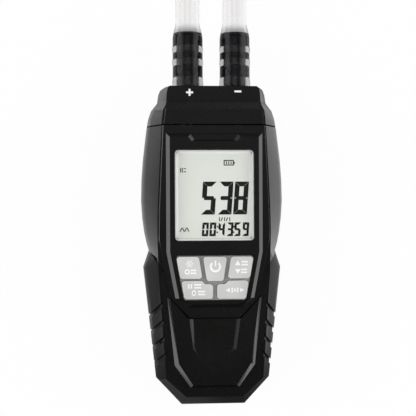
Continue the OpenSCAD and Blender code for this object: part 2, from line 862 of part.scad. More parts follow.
// Tube from a port's inner nipple to the sensor, an even S in plan
function tube_route(side) =
  let (y0 = sensor_top_y + touch, y1 = body_len - stem_len - touch, a = nipple_len / (y1 - y0))
  [for (k = [0 : tube_rings])
    let (s = k / tube_rings, q = min(1, max(0, (s - a) / (1 - 2 * a))), e = eased(q))
    [side * (sensor_gap + (port_gap - sensor_gap) * e) / 2, y0 + (y1 - y0) * s, port_z]];
function longer(p) = concat([p[0] - [0, overrun, 0]], p, [p[len(p) - 1] + [0, overrun, 0]]);
module sensor_tube(side) {
  color("gainsboro")
  difference() {
    sweep(tube_route(side), tube_d / 2, [0, 0, 1], tube_sides);
    sweep(longer(tube_route(side)), tube_bore / 2, [0, 0, 1], tube_sides);
  }
}
module sensor_tube_plus() sensor_tube(-1);
module sensor_tube_minus() sensor_tube(1);

// Display
module lcd_frame() {
  color("white")
  difference() {
    plate(box_outline(frame_w, frame_h, frame_y), board_top + touch, glass_z + glass_t);
    plate(box_outline(glass_w + 2 * touch, glass_h + 2 * touch, frame_y), glass_z - touch / 2, body_t);
    plate(box_outline(guide_w + 2 * touch, guide_h + 2 * touch, guide_y()), guide_z - touch, body_t);
    plate(box_outline(zebra_w + 2 * touch, zebra_d + 2 * touch, zebra_y()), board_z, body_t);
    plate(box_outline(frame_w - 2 * frame_hollow, guide_h, guide_y()), board_z, guide_z - guide_floor_t);
  }
}
function guide_y() = frame_y + glass_h / 2 - guide_h / 2 - guide_margin;
function zebra_y() = frame_y - glass_h / 2 + zebra_margin + zebra_d / 2;

module lcd_light_guide() {
  color("white") plate(box_outline(guide_w, guide_h, guide_y()), guide_z, guide_z + guide_t);
}

module lcd_glass() {
  color("#d6d9d2") plate(box_outline(glass_w, glass_h, frame_y), glass_z, glass_z + glass_t);
}

module zebra_strip() {
  color("#444444") plate(box_outline(zebra_w, zebra_d, zebra_y()), board_top + touch, glass_z - touch);
}

function window_outline(by) =
  rounded(box_outline(window_w + 2 * by, window_h + 2 * by, window_y), window_r);
module display_window() {
  color("lightgray", 0.5)
  plate(window_outline(0), window_top - window_t + touch, window_top);
}

// Keypad
function pad_points(shares, side) =
  let (p = [for (s = shares) [side * s[0] * pad_half, pad_top - pad_h + s[1] * pad_h]])
  side > 0 ? p : [for (i = [len(p) - 1 : -1 : 0]) p[i]];
function pad_outline(by) = grown(pad_points(pad_shares, 1), by);
function key_outline(shares, side, by) = rounded(grown(pad_points(shares, side), by), key_r + by);

module keypad_mat() {
  color("#8f8f8d")
  difference() {
    union() {
      plate(pad_outline(mat_margin), board_top + touch, roof_z - touch);
      plate(rounded(pad_outline(-pad_clear), pad_r), roof_z - 2 * touch, mat_top);
    }
    plate(pad_outline(mat_margin - mat_skirt), board_z, mat_floor_z);
    for (side = [-1, 1]) {
      plate(key_outline(corner_key_shares, side, key_fit), 0, body_t);
      plate(key_outline(wide_key_shares, side, key_fit), 0, body_t);
    }
    plate(key_outline(power_shares, 1, key_fit), 0, body_t);
  }
}

module key(shares, side) {
  color("#cbcbc9") {
    plate(key_outline(shares, side, 0), key_z, key_top);
    plate(key_outline(shares, side, key_fit + key_lip), key_z, key_z + key_lip_t);
  }
}
module key_backlight() key(corner_key_shares, -1);
module key_power() key(power_shares, 1);
module key_max_min() key(corner_key_shares, 1);
module key_hold_zero() key(wide_key_shares, -1);
module key_units() key(wide_key_shares, 1);

// Ports
module port(side) {
  color("#15161a")
  along_port(side) difference() {
    rotate_extrude() polygon(concat(
      [[0, -stem_len - nipple_len], [nipple_d / 2, -stem_len - nipple_len], [nipple_d / 2, -stem_len],
        [stem_d / 2, -stem_len], [stem_d / 2, 0], [port_collar_d / 2, 0], [port_collar_d / 2, port_collar_t],
        [neck_d / 2, port_collar_t]],
      [for (s = barb_shares) each [
        [neck_d / 2, s[0] * port_reach],
        [barb_d / 2, s[0] * port_reach],
        [barb_d / 2, s[1] * port_reach],
        [s == barb_shares[2] ? barb_d / 2 - 2 * touch : neck_d / 2, s[1] * port_reach]
      ]],
      [[barb_tip_share * barb_d / 2, port_reach], [0, port_reach]]
    ));
    translate([0, 0, -stem_len - nipple_len - overrun])
      cylinder(h = port_reach + stem_len + nipple_len + 2 * overrun, d = port_bore);
  }
}
module port_plus() port(-1);
module port_minus() port(1);

module port_seals() {
  color("#101010")
  for (side = [-1, 1]) along_port(side)
    translate([0, 0, -cap_end_t - seal_t]) difference() {
      cylinder(h = seal_t, d = seal_d);
      translate([0, 0, -overrun]) cylinder(h = seal_t + 2 * overrun, d = stem_d + 2 * stem_fit);
    }
}

module port_nuts() {
  color("silver")
  for (side = [-1, 1]) along_port(side)
    translate([0, 0, -cap_end_t - seal_t - nut_t]) difference() {
      cylinder(h = nut_t, d = nut_flats / cos(full_turn / nut_sides / 2), $fn = nut_sides);
      translate([0, 0, -overrun]) cylinder(h = nut_t + 2 * overrun, d = stem_d + 2 * stem_fit);
    }
}

// Fasteners
module screw(d, head_d, head_h, length) {
  translate([0, 0, -head_h]) cylinder(h = head_h, d = head_d);
  cylinder(h = length, d = d);
}
module case_screws() {
  color("silver") mirrored()
    for (p = case_screw_places)
      translate([p[0], p[1], case_head_z])
        screw(case_screw_d, case_head_d, case_head_h, front_boss_top - 2 * wall - case_head_z + overrun);
}
module board_screws() {
  color("silver") mirrored()
    for (p = board_screw_places)
      translate([p[0], p[1], board_z])
        screw(board_screw_d, board_head_d, board_head_h, roof_z - board_z - overrun / 2);
}

// Hoses
module hose_cuff(side) {
  color("#e4e6e8", 0.5)
  along_port(side) rotate_extrude() polygon([
    [barb_d / 2 + cuff_wall_in, cuff_start],
    [cuff_d / 2, cuff_start],
    [cuff_d / 2, barb_shares[2][1] * port_reach],
    [cuff_d / 2 - cuff_shoulder, port_reach + cuff_upper_share * cuff_taper],
    [hose_d / 2 + cuff_shoulder / 2, port_reach + (1 - cuff_upper_share) * cuff_taper],
    [hose_d / 2, port_reach + cuff_taper],
    [hose_d / 2, port_reach + cuff_taper + cuff_end_len],
    [hose_bore / 2, port_reach + cuff_taper + cuff_end_len],
    [hose_bore / 2, port_reach + cuff_taper],
    [barb_tip_share * barb_d / 2 + cuff_wall_in, port_reach + touch],
    [barb_d / 2 + cuff_wall_in, barb_shares[2][1] * port_reach]
  ]);
}
module hose_run(route) {
  color("#e4e6e8", 0.5)
  sweep(route, hose_d / 2, [0, 0, 1], hose_sides);
}
module hose_end(route) {
  color("#e4e6e8", 0.5)
  translate(route[len(route) - 1]) rotate([90, 0, 0]) difference() {
    cylinder(h = tip_len, d = hose_d);
    translate([0, 0, -overrun]) cylinder(h = tip_len + 2 * overrun, d = hose_bore);
  }
}

// Strap round the four runs of the folded hoses
function tie_outline(by) =
  let (
    x = fold_r_outer + hose_d / 2 + tie_fit + by,
    z0 = hose_z - hose_d / 2 - tie_fit - by,
    z1 = hose_z + hose_d / 2 + tie_slack + by
  )
  rounded(
    [[fold_x - x, z0], [fold_x + x, z0], [fold_x + x, z1], [fold_x - x, z1]],
    hose_d * tie_round_share + by
  );
module hose_tie() {
  color("#202020")
  translate([0, fold_y - tie_end_gap, 0]) rotate([90, 0, 0]) linear_extrude(tie_w) difference() {
    polygon(tie_outline(tie_t));
    polygon(tie_outline(0));
  }
}

module hose_cuff_plus() hose_cuff(-1);
module hose_cuff_minus() hose_cuff(1);
module hose_run_plus() hose_run(hose_route(-1, fold_r_outer));
module hose_run_minus() hose_run(hose_route(1, fold_r_inner));
module hose_end_plus() hose_end(hose_route(-1, fold_r_outer));
module hose_end_minus() hose_end(hose_route(1, fold_r_inner));

placed() back_shell();
placed() front_shell();
placed() top_cap();
placed() grip_left();
placed() grip_right();
placed() battery_door();
placed() cell_left();
placed() cell_middle();
placed() cell_right();
placed() contact_springs();
placed() contact_plates();
placed() main_board();
placed() board_chips();
placed() pressure_sensor();
placed() sensor_tube_plus();
placed() sensor_tube_minus();
placed() lcd_frame();
placed() lcd_light_guide();
placed() lcd_glass();
placed() zebra_strip();
placed() display_window();
placed() keypad_mat();
placed() key_backlight();
placed() key_power();
placed() key_max_min();
placed() key_hold_zero();
placed() key_units();
placed() port_plus();
placed() port_minus();
placed() port_seals();
placed() port_nuts();
placed() case_screws();
placed() board_screws();
placed() hose_cuff_plus();
hose_run_plus();
hose_end_plus();
placed() hose_cuff_minus();
hose_run_minus();
hose_end_minus();
hose_tie();
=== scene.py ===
import math

import bpy
from mathutils import Matrix, Vector


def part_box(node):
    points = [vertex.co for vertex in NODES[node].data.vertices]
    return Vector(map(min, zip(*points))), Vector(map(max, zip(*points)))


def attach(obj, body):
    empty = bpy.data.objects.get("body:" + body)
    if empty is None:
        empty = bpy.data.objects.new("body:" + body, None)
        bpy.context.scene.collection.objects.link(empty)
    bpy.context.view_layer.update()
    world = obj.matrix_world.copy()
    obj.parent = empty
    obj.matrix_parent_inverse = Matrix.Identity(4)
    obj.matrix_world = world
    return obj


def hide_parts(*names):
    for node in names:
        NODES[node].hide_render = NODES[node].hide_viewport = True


bl_info = {
    "name": "Digital manometer",
    "version": (1, 0, 0),
    "blender": (4, 5, 0),
    "location": "3D View > Sidebar > Manometer",
    "description": "Dresses a hand-held differential manometer with finishes, display, legends and hoses",
    "category": "Object",
}

MM = 0.001
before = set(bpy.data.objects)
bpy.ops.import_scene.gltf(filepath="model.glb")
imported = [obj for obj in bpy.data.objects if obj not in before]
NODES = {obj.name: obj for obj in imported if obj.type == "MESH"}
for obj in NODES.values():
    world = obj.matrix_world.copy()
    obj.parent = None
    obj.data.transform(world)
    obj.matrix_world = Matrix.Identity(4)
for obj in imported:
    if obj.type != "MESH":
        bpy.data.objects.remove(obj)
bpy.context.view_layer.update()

# Places of the ports and hoses in the frame, in millimetres
PORT_GAP = 19
PORT_Z = 16.5
HOSE_START_Y = 53.1
DROP_START_Y = 91.5
FOLD_X = 15
FOLD_Y = 210
REST_Z = 5.35
OUTER_FOLD = 39
INNER_FOLD = 29

# How the hoses are stretched over the ports, in millimetres; a ring has its place and its reach to both sides
STRETCHED_RADIUS = 6.05
STRETCHED_LENGTH = 19
TAPER_LENGTH = 7.5
RING_RISE = 0.25
RINGS = ((1.4, 2.4), (9.6, 1.3), (14.9, 1.3))

# Marks of the display: their thickness in millimetres, how digits lean, and the bars of each digit
INK_THICKNESS = 0.03
DIGIT_LEAN = math.tan(math.radians(4))
SEGMENTS = {
    "0": "abcdef", "1": "bc", "2": "abged", "3": "abgcd", "4": "fgbc",
    "5": "afgcd", "6": "afgedc", "7": "abc", "8": "abcdefg", "9": "abcdfg",
}

# Where faces of a moulded form meet at more than this, their edge is rounded
SHARP_ANGLE = math.radians(22)


# Shader graphs


class Wire:
    """The output of a shader node; sums on it add Math nodes."""

    def __init__(self, graph, socket):
        self.graph = graph
        self.socket = socket

    def maths(self, operation, first, second):
        return self.graph.node("ShaderNodeMath", {"operation": operation}, {0: first, 1: second})

    def __add__(self, other):
        return self.maths("ADD", self, other)

    __radd__ = __add__

    def __sub__(self, other):
        return self.maths("SUBTRACT", self, other)

    def __rsub__(self, other):
        return self.maths("SUBTRACT", other, self)

    def __mul__(self, other):
        return self.maths("MULTIPLY", self, other)

    __rmul__ = __mul__

    def __pow__(self, other):
        return self.maths("POWER", self, other)

    def __abs__(self):
        return self.maths("ABSOLUTE", self, 0)

    def larger(self, other):
        return self.maths("MAXIMUM", self, other)

    def above(self, other):
        return self.maths("GREATER_THAN", self, other)

    def below(self, other):
        return self.maths("LESS_THAN", self, other)


class Graph:
    """The nodes of one new material or world."""

    def __init__(self, owner):
        owner.use_nodes = True
        self.owner = owner
        self.tree = owner.node_tree
        self.tree.nodes.clear()

    def node(self, kind, settings=None, inputs=None, output=0):
        """Adds a node with its settings and inputs, and gives back one of its outputs."""
        made = self.tree.nodes.new(kind)
        for name, value in (settings or {}).items():
            setattr(made, name, value)
        for name, value in (inputs or {}).items():
            if isinstance(value, Wire):
                self.tree.links.new(value.socket, made.inputs[name])
            else:
                made.inputs[name].default_value = value
        return Wire(self, made.outputs[output]) if made.outputs else None

    def place(self, scale=(1, 1, 1), turn=(0, 0, 0)):
        """Object coordinates, stretched or turned for a pattern."""
        where = self.node("ShaderNodeTexCoord", output="Object")
        return self.node("ShaderNodeMapping", {}, {"Vector": where, "Scale": scale, "Rotation": turn})

    def axes(self):
        """The three object coordinates."""
        split = self.node("ShaderNodeSeparateXYZ", {}, {0: self.place()})
        return [Wire(self, socket) for socket in split.socket.node.outputs]

    def noise(self, scale, detail, place=None):
        inputs = {"Vector": place or self.place(), "Scale": scale, "Detail": detail}
        return self.node("ShaderNodeTexNoise", {}, inputs)

    def ramped(self, value, start, end, low=0.0, high=1.0):
        """A smooth step from low to high between two values."""
        return self.node("ShaderNodeMapRange", {"interpolation_type": "SMOOTHSTEP"},
                         {0: value, 1: start, 2: end, 3: low, 4: high})

    def blended(self, factor, dark, light):
        return self.node("ShaderNodeMix", {"data_type": "RGBA"}, {0: factor, 6: dark, 7: light}, output=2)

    def bump(self, height, strength, distance):
        inputs = {"Height": height, "Strength": strength, "Distance": distance}
        return self.node("ShaderNodeBump", {}, inputs)

    def finish(self, inputs):
        """Ends a material with a Principled shader, and gives the material back."""
        surface = self.node("ShaderNodeBsdfPrincipled", {}, inputs)
        self.node("ShaderNodeOutputMaterial", {}, {"Surface": surface})
        return self.owner


def shaded(colour, factor):
    """A colour made lighter or darker, with full alpha."""
    return (*(min(1, channel * factor) for channel in colour[:3]), 1)


# Finishes


def moulded_plastic(name, colour, roughness, gloss, grain, depth):
    """Moulded plastic: a fine spark-eroded grain, cloudy gloss and slightly paler worn patches."""
    graph = Graph(bpy.data.materials.new(name))
    fine = graph.noise(grain, 4)
    cloud = graph.noise(60, 3)
    return graph.finish({
        "Base Color": graph.blended(cloud, shaded(colour, 0.75), shaded(colour, 1.3)),
        "Roughness": roughness - 0.06 + 0.12 * cloud + 0.05 * fine,
        "Specular IOR Level": gloss,
        "Normal": graph.bump(fine, 0.35, depth),
    })


def soft_rubber(name, colour, roughness, gloss):
    """Rubber with a matt bloom and a close pebbled skin."""
    graph = Graph(bpy.data.materials.new(name))
    cells = graph.node("ShaderNodeTexVoronoi", {}, {"Vector": graph.place(), "Scale": 2600})
    bloom = graph.noise(90, 4)
    return graph.finish({
        "Base Color": graph.blended(bloom, shaded(colour, 0.8), shaded(colour, 1.25)),
        "Roughness": roughness - 0.05 + 0.1 * bloom,
        "Specular IOR Level": gloss,
        "Normal": graph.bump(cells, 0.3, 0.00005),
    })


def bare_metal(name, colour, roughness, stretch):
    """Turned or drawn metal with fine lines along one direction."""
    graph = Graph(bpy.data.materials.new(name))
    lines = graph.noise(900, 3, graph.place(stretch))
    stain = graph.noise(150, 2)
    return graph.finish({
        "Base Color": graph.blended(stain, shaded(colour, 0.85), shaded(colour, 1.08)),
        "Metallic": 1.0,
        "Roughness": roughness - 0.06 + 0.14 * lines,
        "Normal": graph.bump(lines, 0.2, 0.00002),
    })


def woven_strap(name, colour):
    """Woven strap: ribs of yarn across its width and fine threads along it."""
    graph = Graph(bpy.data.materials.new(name))
    ribs = graph.node("ShaderNodeTexWave", {"wave_type": "BANDS", "bands_direction": "X"},
                      {"Vector": graph.place(), "Scale": 320, "Distortion": 0.6, "Detail": 2})
    threads = graph.node("ShaderNodeTexWave", {"wave_type": "BANDS", "bands_direction": "Y"},
                         {"Vector": graph.place(), "Scale": 500, "Distortion": 0.4, "Detail": 1})
    cloth = 0.6 * ribs + 0.4 * threads
    return graph.finish({
        "Base Color": graph.blended(cloth, shaded(colour, 0.6), shaded(colour, 1.8)),
        "Roughness": 0.85,
        "Specular IOR Level": 0.2,
        "Normal": graph.bump(cloth, 0.6, 0.0001),
    })


def circuit_board(name, colour):
    """Solder mask over tracks that run along and across the board."""
    graph = Graph(bpy.data.materials.new(name))
    tracks = graph.node("ShaderNodeTexBrick", {}, {
        "Vector": graph.place(), "Scale": 220, "Mortar Size": 0.06, "Color1": (0, 0, 0, 1),
        "Color2": (0.25, 0.25, 0.25, 1), "Mortar": (1, 1, 1, 1),
    })
    return graph.finish({
        "Base Color": graph.blended(tracks, shaded(colour, 0.8), shaded(colour, 1.9)),
        "Roughness": 0.32,
        "Coat Weight": 0.3,
        "Normal": graph.bump(tracks, 0.3, 0.00003),
    })


def printed_sleeve(name, colour, band, ends):
    """Cell sleeve: a plain colour with a darker band between two places along the cell."""
    graph = Graph(bpy.data.materials.new(name))
    along = graph.axes()[1]
    in_band = along.above(ends[0]) * along.below(ends[1])
    scuff = graph.noise(300, 3)
    return graph.finish({
        "Base Color": graph.blended(in_band, shaded(colour, 1), shaded(band, 1)),
        "Metallic": 0.35,
        "Roughness": 0.26 + 0.12 * scuff,
    })


def display_face(name, colour, low, high):
    """Reflective display: a faint cloud of tone, with a painted highlight along its left and top edges and
    painted shade along the others.
    """
    graph = Graph(bpy.data.materials.new(name))
    cloud = graph.noise(35, 2)
    across, along, _ = graph.axes()
    # The left and top masks paint a highlight, and the right and bottom masks paint shade, along the edges of
    # the opening
    edge = 0.001
    painted_highlight_width = 0.0009
    left = graph.ramped(across, low.x, low.x + painted_highlight_width, 1, 0)
    top = graph.ramped(along, high.y - edge, high.y)
    right = graph.ramped(across, high.x - edge, high.x)
    bottom = graph.ramped(along, low.y, low.y + edge, 1, 0)
    even = graph.blended(cloud, shaded(colour, 0.97), shaded(colour, 1.03))
    # Painted highlight: near white along the left and top edges
    lit = graph.blended(left.larger(top), even, (0.95, 0.95, 0.94, 1))
    return graph.finish({
        # Painted shade: darker along the right and bottom edges
        "Base Color": graph.blended(right.larger(bottom) * 0.35, lit, shaded(colour, 0.4)),
        "Roughness": 0.42 + 0.06 * graph.noise(1500, 2),
        "Specular IOR Level": 0.25,
    })


def clear_sheet(name):
    """Clear acrylic sheet with a trace of wiping marks."""
    graph = Graph(bpy.data.materials.new(name))
    wipe = graph.noise(120, 4, graph.place((1, 8, 1), (0, 0, 0.5)))
    return graph.finish({
        "Base Color": (0.2, 0.2, 0.2, 1),
        "Roughness": 0.02 + 0.03 * wipe,
        "IOR": 1.49,
        "Alpha": 0.03,
    })


def clear_tube(name, tint, stretched, reach, roughness):
    """Clear soft hose with faint drawn lines, tinted darker as painted shade up to where the port that
    stretches it ends.
    """
    graph = Graph(bpy.data.materials.new(name))
    haze = graph.noise(200, 3, graph.place((6, 0.4, 6)))
    fade = 0.004
    free = graph.ramped(graph.axes()[1], reach, reach + fade)
    return graph.finish({
        # Painted shade: the darker tint over the port
        "Base Color": graph.blended(free, shaded(stretched, 1), shaded(tint, 1)),
        "Roughness": roughness + 0.04 * haze,
        "IOR": 1.27,
        "Transmission Weight": 1.0,
        "Specular IOR Level": 0.3,
    })


def barbed_plastic(name, colour, painted_light_groove, axis, neck):
    """Moulded plastic of both hose ports; where it is nearer than the neck to an axis, its grooves are
    painted paler as painted light seen through the hose.
    """
    graph = Graph(bpy.data.materials.new(name))
    across, _, up = graph.axes()
    side = abs(across) - axis.x
    height = up - axis.z
    radius = (side * side + height * height) ** 0.5
    fine = graph.noise(900, 3)
    return graph.finish({
        # Painted light: paler inside the grooves, for the light seen through the hose around the necks
        "Base Color": graph.blended(radius.below(neck), shaded(colour, 1), shaded(painted_light_groove, 1)),
        "Roughness": 0.22 + 0.1 * fine,
        "Specular IOR Level": 0.12,
        "Normal": graph.bump(fine, 0.2, 0.00001),
    })


def studio_floor(name, tone):
    """White to the camera, with a faint shadow; shiny pieces mirror it dark near the meter and lit beside."""
    graph = Graph(bpy.data.materials.new(name))
    path = {ray: graph.node("ShaderNodeLightPath", output=ray)
            for ray in ("Is Camera Ray", "Is Glossy Ray", "Is Transmission Ray")}
    seen = graph.node("ShaderNodeMath", {"operation": "ADD", "use_clamp": True},
                      {0: path["Is Camera Ray"], 1: path["Is Transmission Ray"]})
    mirror = path["Is Glossy Ray"] * (1 - path["Is Transmission Ray"])
    across, along, _ = graph.axes()
    # Each pair is where the mirrored tone starts and ends to change
    housing_side = (0.028, 0.04)
    left_side = (-0.045, -0.032)
    under_housing = (-0.01, 0.01)
    far_left = (-0.13, -0.06)
    lower_end = (-0.07, -0.045)
    beside = graph.ramped(abs(across), *housing_side, 0.1, 0.5)
    near_left = graph.ramped(across, *left_side, -0.1, 0.15) * graph.ramped(across, *under_housing, 1, 0)
    past_ends = graph.ramped(across, *far_left, 0.3, 1) * graph.ramped(along, *lower_end, 0.25, 1)
    lit = (beside + near_left) * past_ends
    mirrored = graph.blended(lit, (0, 0, 0, 1), (2, 2, 2, 1))
    glow = graph.node("ShaderNodeEmission", {}, {
        "Color": graph.blended(mirror, (1, 1, 1, 1), mirrored), "Strength": 1.0})
    matt = graph.node("ShaderNodeBsdfDiffuse", {}, {"Color": shaded(tone, 1)})
    unshadowed = 0.95
    mixed = graph.node("ShaderNodeMixShader", {}, {0: seen * unshadowed + mirror, 1: matt, 2: glow})
    graph.node("ShaderNodeOutputMaterial", {}, {"Surface": mixed})
    return graph.owner


def studio_world(name, ceiling, walls):
    """White to the camera; it lights the meter with a bright wall on both sides and a dim ceiling between."""
    graph = Graph(bpy.data.worlds.new(name))
    way = graph.node("ShaderNodeTexCoord", output="Generated")
    across, along = (graph.node("ShaderNodeSeparateXYZ", {}, {0: way}, output=axis) for axis in "XY")
    # Each pair is where the light starts and ends to change, as a part of its direction
    overhead = (-0.2, 0.04)
    far_end = (0.3, 0.6)
    wall = (0.5, 0.85)
    nearer = graph.ramped(along, *overhead, 0.3, 1.5) * graph.ramped(along, *far_end, 1, 0.5)
    tent = graph.ramped(abs(across), *wall, nearer * ceiling, walls)
    seen = graph.node("ShaderNodeLightPath", output="Is Camera Ray")
    strength = tent * (1 - seen) + seen
    sky = graph.node("ShaderNodeBackground", {}, {"Color": (1, 1, 1, 1), "Strength": strength})
    graph.node("ShaderNodeOutputWorld", {}, {"Surface": sky})
    return graph.owner


# Modelling


def alone(piece):
    """Makes a piece the only selected and active one."""
    bpy.ops.object.select_all(action="DESELECT")
    piece.select_set(True)
    bpy.context.view_layer.objects.active = piece


def settled(piece):
    """Puts a piece's place, turn and size into its mesh."""
    alone(piece)
    bpy.ops.object.transform_apply(location=True, rotation=True, scale=True)
    return piece


def joined(pieces, name):
    """Makes one piece of several."""
    alone(pieces[0])
    for piece in pieces:
        piece.select_set(True)
    bpy.ops.object.join()
    pieces[0].name = name
    return settled(pieces[0])


def given(piece, finish):
    """Gives a piece one finish."""
    piece.data.materials.clear()
    piece.data.materials.append(finish)
    return piece


def applied(piece, kind, **settings):
    """Adds a modifier to a piece and applies it."""
    alone(piece)
    modifier = piece.modifiers.new(kind.title(), kind)
    for name, value in settings.items():
        setattr(modifier, name, value)
    bpy.ops.object.modifier_apply(modifier=modifier.name)
    return piece


def mark_roomy_edges(mesh, width):
    """Gives a bevel weight to the sharp outer edges whose neighbours leave room for a rounding."""
    room = 1.25 * width
    sides, shortest = {}, {}
    for face in mesh.polygons:
        for key in face.edge_keys:
            sides.setdefault(key, []).append(face)
    for edge in mesh.edges:
        length = (mesh.vertices[edge.vertices[0]].co - mesh.vertices[edge.vertices[1]].co).length
        for corner in edge.vertices:
            shortest[corner] = min(shortest.get(corner, length), length)

    def chosen(edge):
        faces = sides.get(edge.key, ())
        if len(faces) != 2 or min(shortest[corner] for corner in edge.vertices) < room:
            return False
        one, two = faces
        sharp = one.normal.angle(two.normal, 0) > SHARP_ANGLE
        return sharp and (two.center - one.center).dot(one.normal) < 0

    weights = mesh.attributes.new("bevel_weight_edge", "FLOAT", "EDGE")
    weights.data.foreach_set("value", [float(chosen(edge)) for edge in mesh.edges])


def moulded_copy(node, name, finish, bevel, segments=2, smooth_angle=32, thin=True, roomy=False,
                 reshape=None):
    """A CAD node's form with its sharp moulded edges rounded, in that node's place.

    Thin melts flat neighbours into one face, roomy leaves edges without room for a rounding sharp, and
    reshape is called on the piece before its edges are rounded."""
    piece = bpy.data.objects.new(name, NODES[node].data.copy())
    bpy.context.scene.collection.objects.link(piece)
    alone(piece)
    bpy.ops.object.mode_set(mode="EDIT")
    bpy.ops.mesh.select_all(action="SELECT")
    bpy.ops.mesh.remove_doubles(threshold=2e-6)
    if thin:
        bpy.ops.mesh.dissolve_limited(angle_limit=math.radians(0.3))
    bpy.ops.object.mode_set(mode="OBJECT")
    if reshape:
        reshape(piece)
    if roomy:
        mark_roomy_edges(piece.data, bevel)
    applied(piece, "BEVEL", width=bevel, segments=segments, limit_method="WEIGHT" if roomy else "ANGLE",
            angle_limit=SHARP_ANGLE, miter_outer="MITER_ARC", use_clamp_overlap=True)
    alone(piece)
    # Normals that came with the CAD mesh would hide which edges are sharp now
    bpy.ops.mesh.customdata_custom_splitnormals_clear()
    bpy.ops.object.shade_smooth_by_angle(angle=math.radians(smooth_angle))
    applied(piece, "WEIGHTED_NORMAL", mode="FACE_AREA", keep_sharp=True)
    given(piece, finish)
    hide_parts(node)
    return piece


def picked(form, chosen):
    """Opens a form for editing with the corners selected that a test picks out."""
    alone(form)
    bpy.ops.object.mode_set(mode="EDIT")
    bpy.ops.mesh.select_mode(type="VERT")
    bpy.ops.mesh.select_all(action="DESELECT")
    bpy.ops.object.mode_set(mode="OBJECT")
    for corner in form.data.vertices:
        corner.select = chosen(corner.co)
    bpy.ops.object.mode_set(mode="EDIT")


def moved(form, chosen, value):
    """Moves the corners of a form that a test picks out, in millimetres."""
    picked(form, chosen)
    bpy.ops.transform.translate(value=tuple(part * MM for part in value))
    bpy.ops.object.mode_set(mode="OBJECT")


def widened(piece, chosen, factor, axis):
    """Scales the corners that a test picks out away from an axis along Y."""
    picked(piece, chosen)
    bpy.ops.transform.resize(value=(factor, 1, factor), center_override=axis)
    bpy.ops.object.mode_set(mode="OBJECT")
    return piece


def bar_form(length, width, low, high, points=6, insets=(0, 0)):
    """A flat bar along X, with pointed ends for six corners and square ends for four; sizes in millimetres.

    Insets shorten its lower edge at its left and right end, as in a display segment."""
    bpy.ops.object.select_all(action="DESELECT")
    radius = width / 2 / math.cos(math.pi / points)
    bpy.ops.mesh.primitive_cylinder_add(vertices=points, radius=radius * MM, depth=(high - low) * MM,
                                        location=(0, 0, (low + high) / 2 * MM),
                                        rotation=(0, 0, math.pi / 2 if points == 6 else math.pi / 4))
    form = settled(bpy.context.active_object)
    tip = max(corner.co.x for corner in form.data.vertices) / MM
    for side, inset in zip((-1, 1), insets):
        moved(form, lambda corner: corner.x * side > 0, (side * (length / 2 - tip), 0, 0))
        if inset:
            moved(form, lambda corner: corner.x * side > 0 > corner.y, (-side * inset, 0, 0))
    return form


def ring_form(radius, width, low, high, sides=40):
    """A flat ring, such as a printed circle; sizes in millimetres."""
    bpy.ops.object.select_all(action="DESELECT")
    bpy.ops.mesh.primitive_torus_add(major_radius=radius * MM, minor_radius=width / 2 * MM,
                                     major_segments=sides, minor_segments=8)
    form = bpy.context.active_object
    form.scale = (1, 1, (high - low) / width)
    form.location = (0, 0, (low + high) / 2 * MM)
    return settled(form)


def wedge_form(width, height, low, high):
    """A flat triangle that points along Y; sizes in millimetres."""
    bpy.ops.object.select_all(action="DESELECT")
    bpy.ops.mesh.primitive_cylinder_add(vertices=3, radius=MM, depth=(high - low) * MM,
                                        location=(0, 0, (low + high) / 2 * MM))
    form = bpy.context.active_object
    form.scale = (width / math.sqrt(3), height / 1.5, 1)
    return settled(form)


def copied(form, x, y, turn=0, size=(1, 1)):
    """A copy of a flat form, stretched, turned by degrees and put at a place in millimetres."""
    piece = bpy.data.objects.new(form.name, form.data.copy())
    bpy.context.scene.collection.objects.link(piece)
    stretch = Matrix.Diagonal((*size, 1, 1))
    place = Matrix.Translation((x * MM, y * MM, 0))
    piece.data.transform(place @ Matrix.Rotation(math.radians(turn), 4, "Z") @ stretch)
    return piece


def dropped(*forms):
    """Removes forms that were only there to be copied."""
    for form in forms:
        bpy.data.objects.remove(form)


def on_circle(x, y, radius, degrees):
    """The place at an angle on a circle round a middle."""
    angle = math.radians(degrees)
    return x + radius * math.cos(angle), y + radius * math.sin(angle)


def part_of(piece, body, slot):
    """Lets a piece move with a body; the slot argument is not used."""
    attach(piece, body)


def dressed(finish, *nodes):
    """Gives CAD nodes a finish in every material slot."""
    for node in nodes:
        slots = NODES[node].material_slots
        for holder in slots:
            holder.material = finish
        if not slots:
            NODES[node].data.materials.append(finish)


# Sizes and colours that a user would change


class HousingLooks(bpy.types.PropertyGroup):
    shell: bpy.props.FloatVectorProperty(
        name="Shell colour", description="Colour of the back shell and battery door",
        default=(0.012, 0.012, 0.0118), min=0, max=1, subtype="COLOR")
    front: bpy.props.FloatVectorProperty(
        name="Front colour", description="Colour of the front shell and top cap",
        default=(0.003, 0.003, 0.0028), min=0, max=1, subtype="COLOR")
    grip: bpy.props.FloatVectorProperty(
        name="Grip colour", description="Colour of the rubber side grips",
        default=(0.0075, 0.0075, 0.0072), min=0, max=1, subtype="COLOR")
    edge: bpy.props.FloatProperty(
        name="Edge radius", description="Rounding of the moulded edges",
        default=0.0005, min=0.00005, max=0.001, unit="LENGTH")


class DisplayLooks(bpy.types.PropertyGroup):
    glass: bpy.props.FloatVectorProperty(
        name="Display colour", description="Colour of the reflective display",
        default=(0.78, 0.805, 0.75), min=0, max=1, subtype="COLOR")
    ink: bpy.props.FloatVectorProperty(
        name="Segment colour", description="Colour of the display's segments",
        default=(0.005, 0.0055, 0.005), min=0, max=1, subtype="COLOR")
    mark: bpy.props.FloatVectorProperty(
        name="Mark colour", description="Colour of the port marks, display rim and display frame",
        default=(0.95, 0.95, 0.94), min=0, max=1, subtype="COLOR")
    reading: bpy.props.StringProperty(
        name="Reading", description="The three large digits", default="538", maxlen=3)
    timer: bpy.props.StringProperty(
        name="Timer", description="The six small digits", default="004359", maxlen=6)


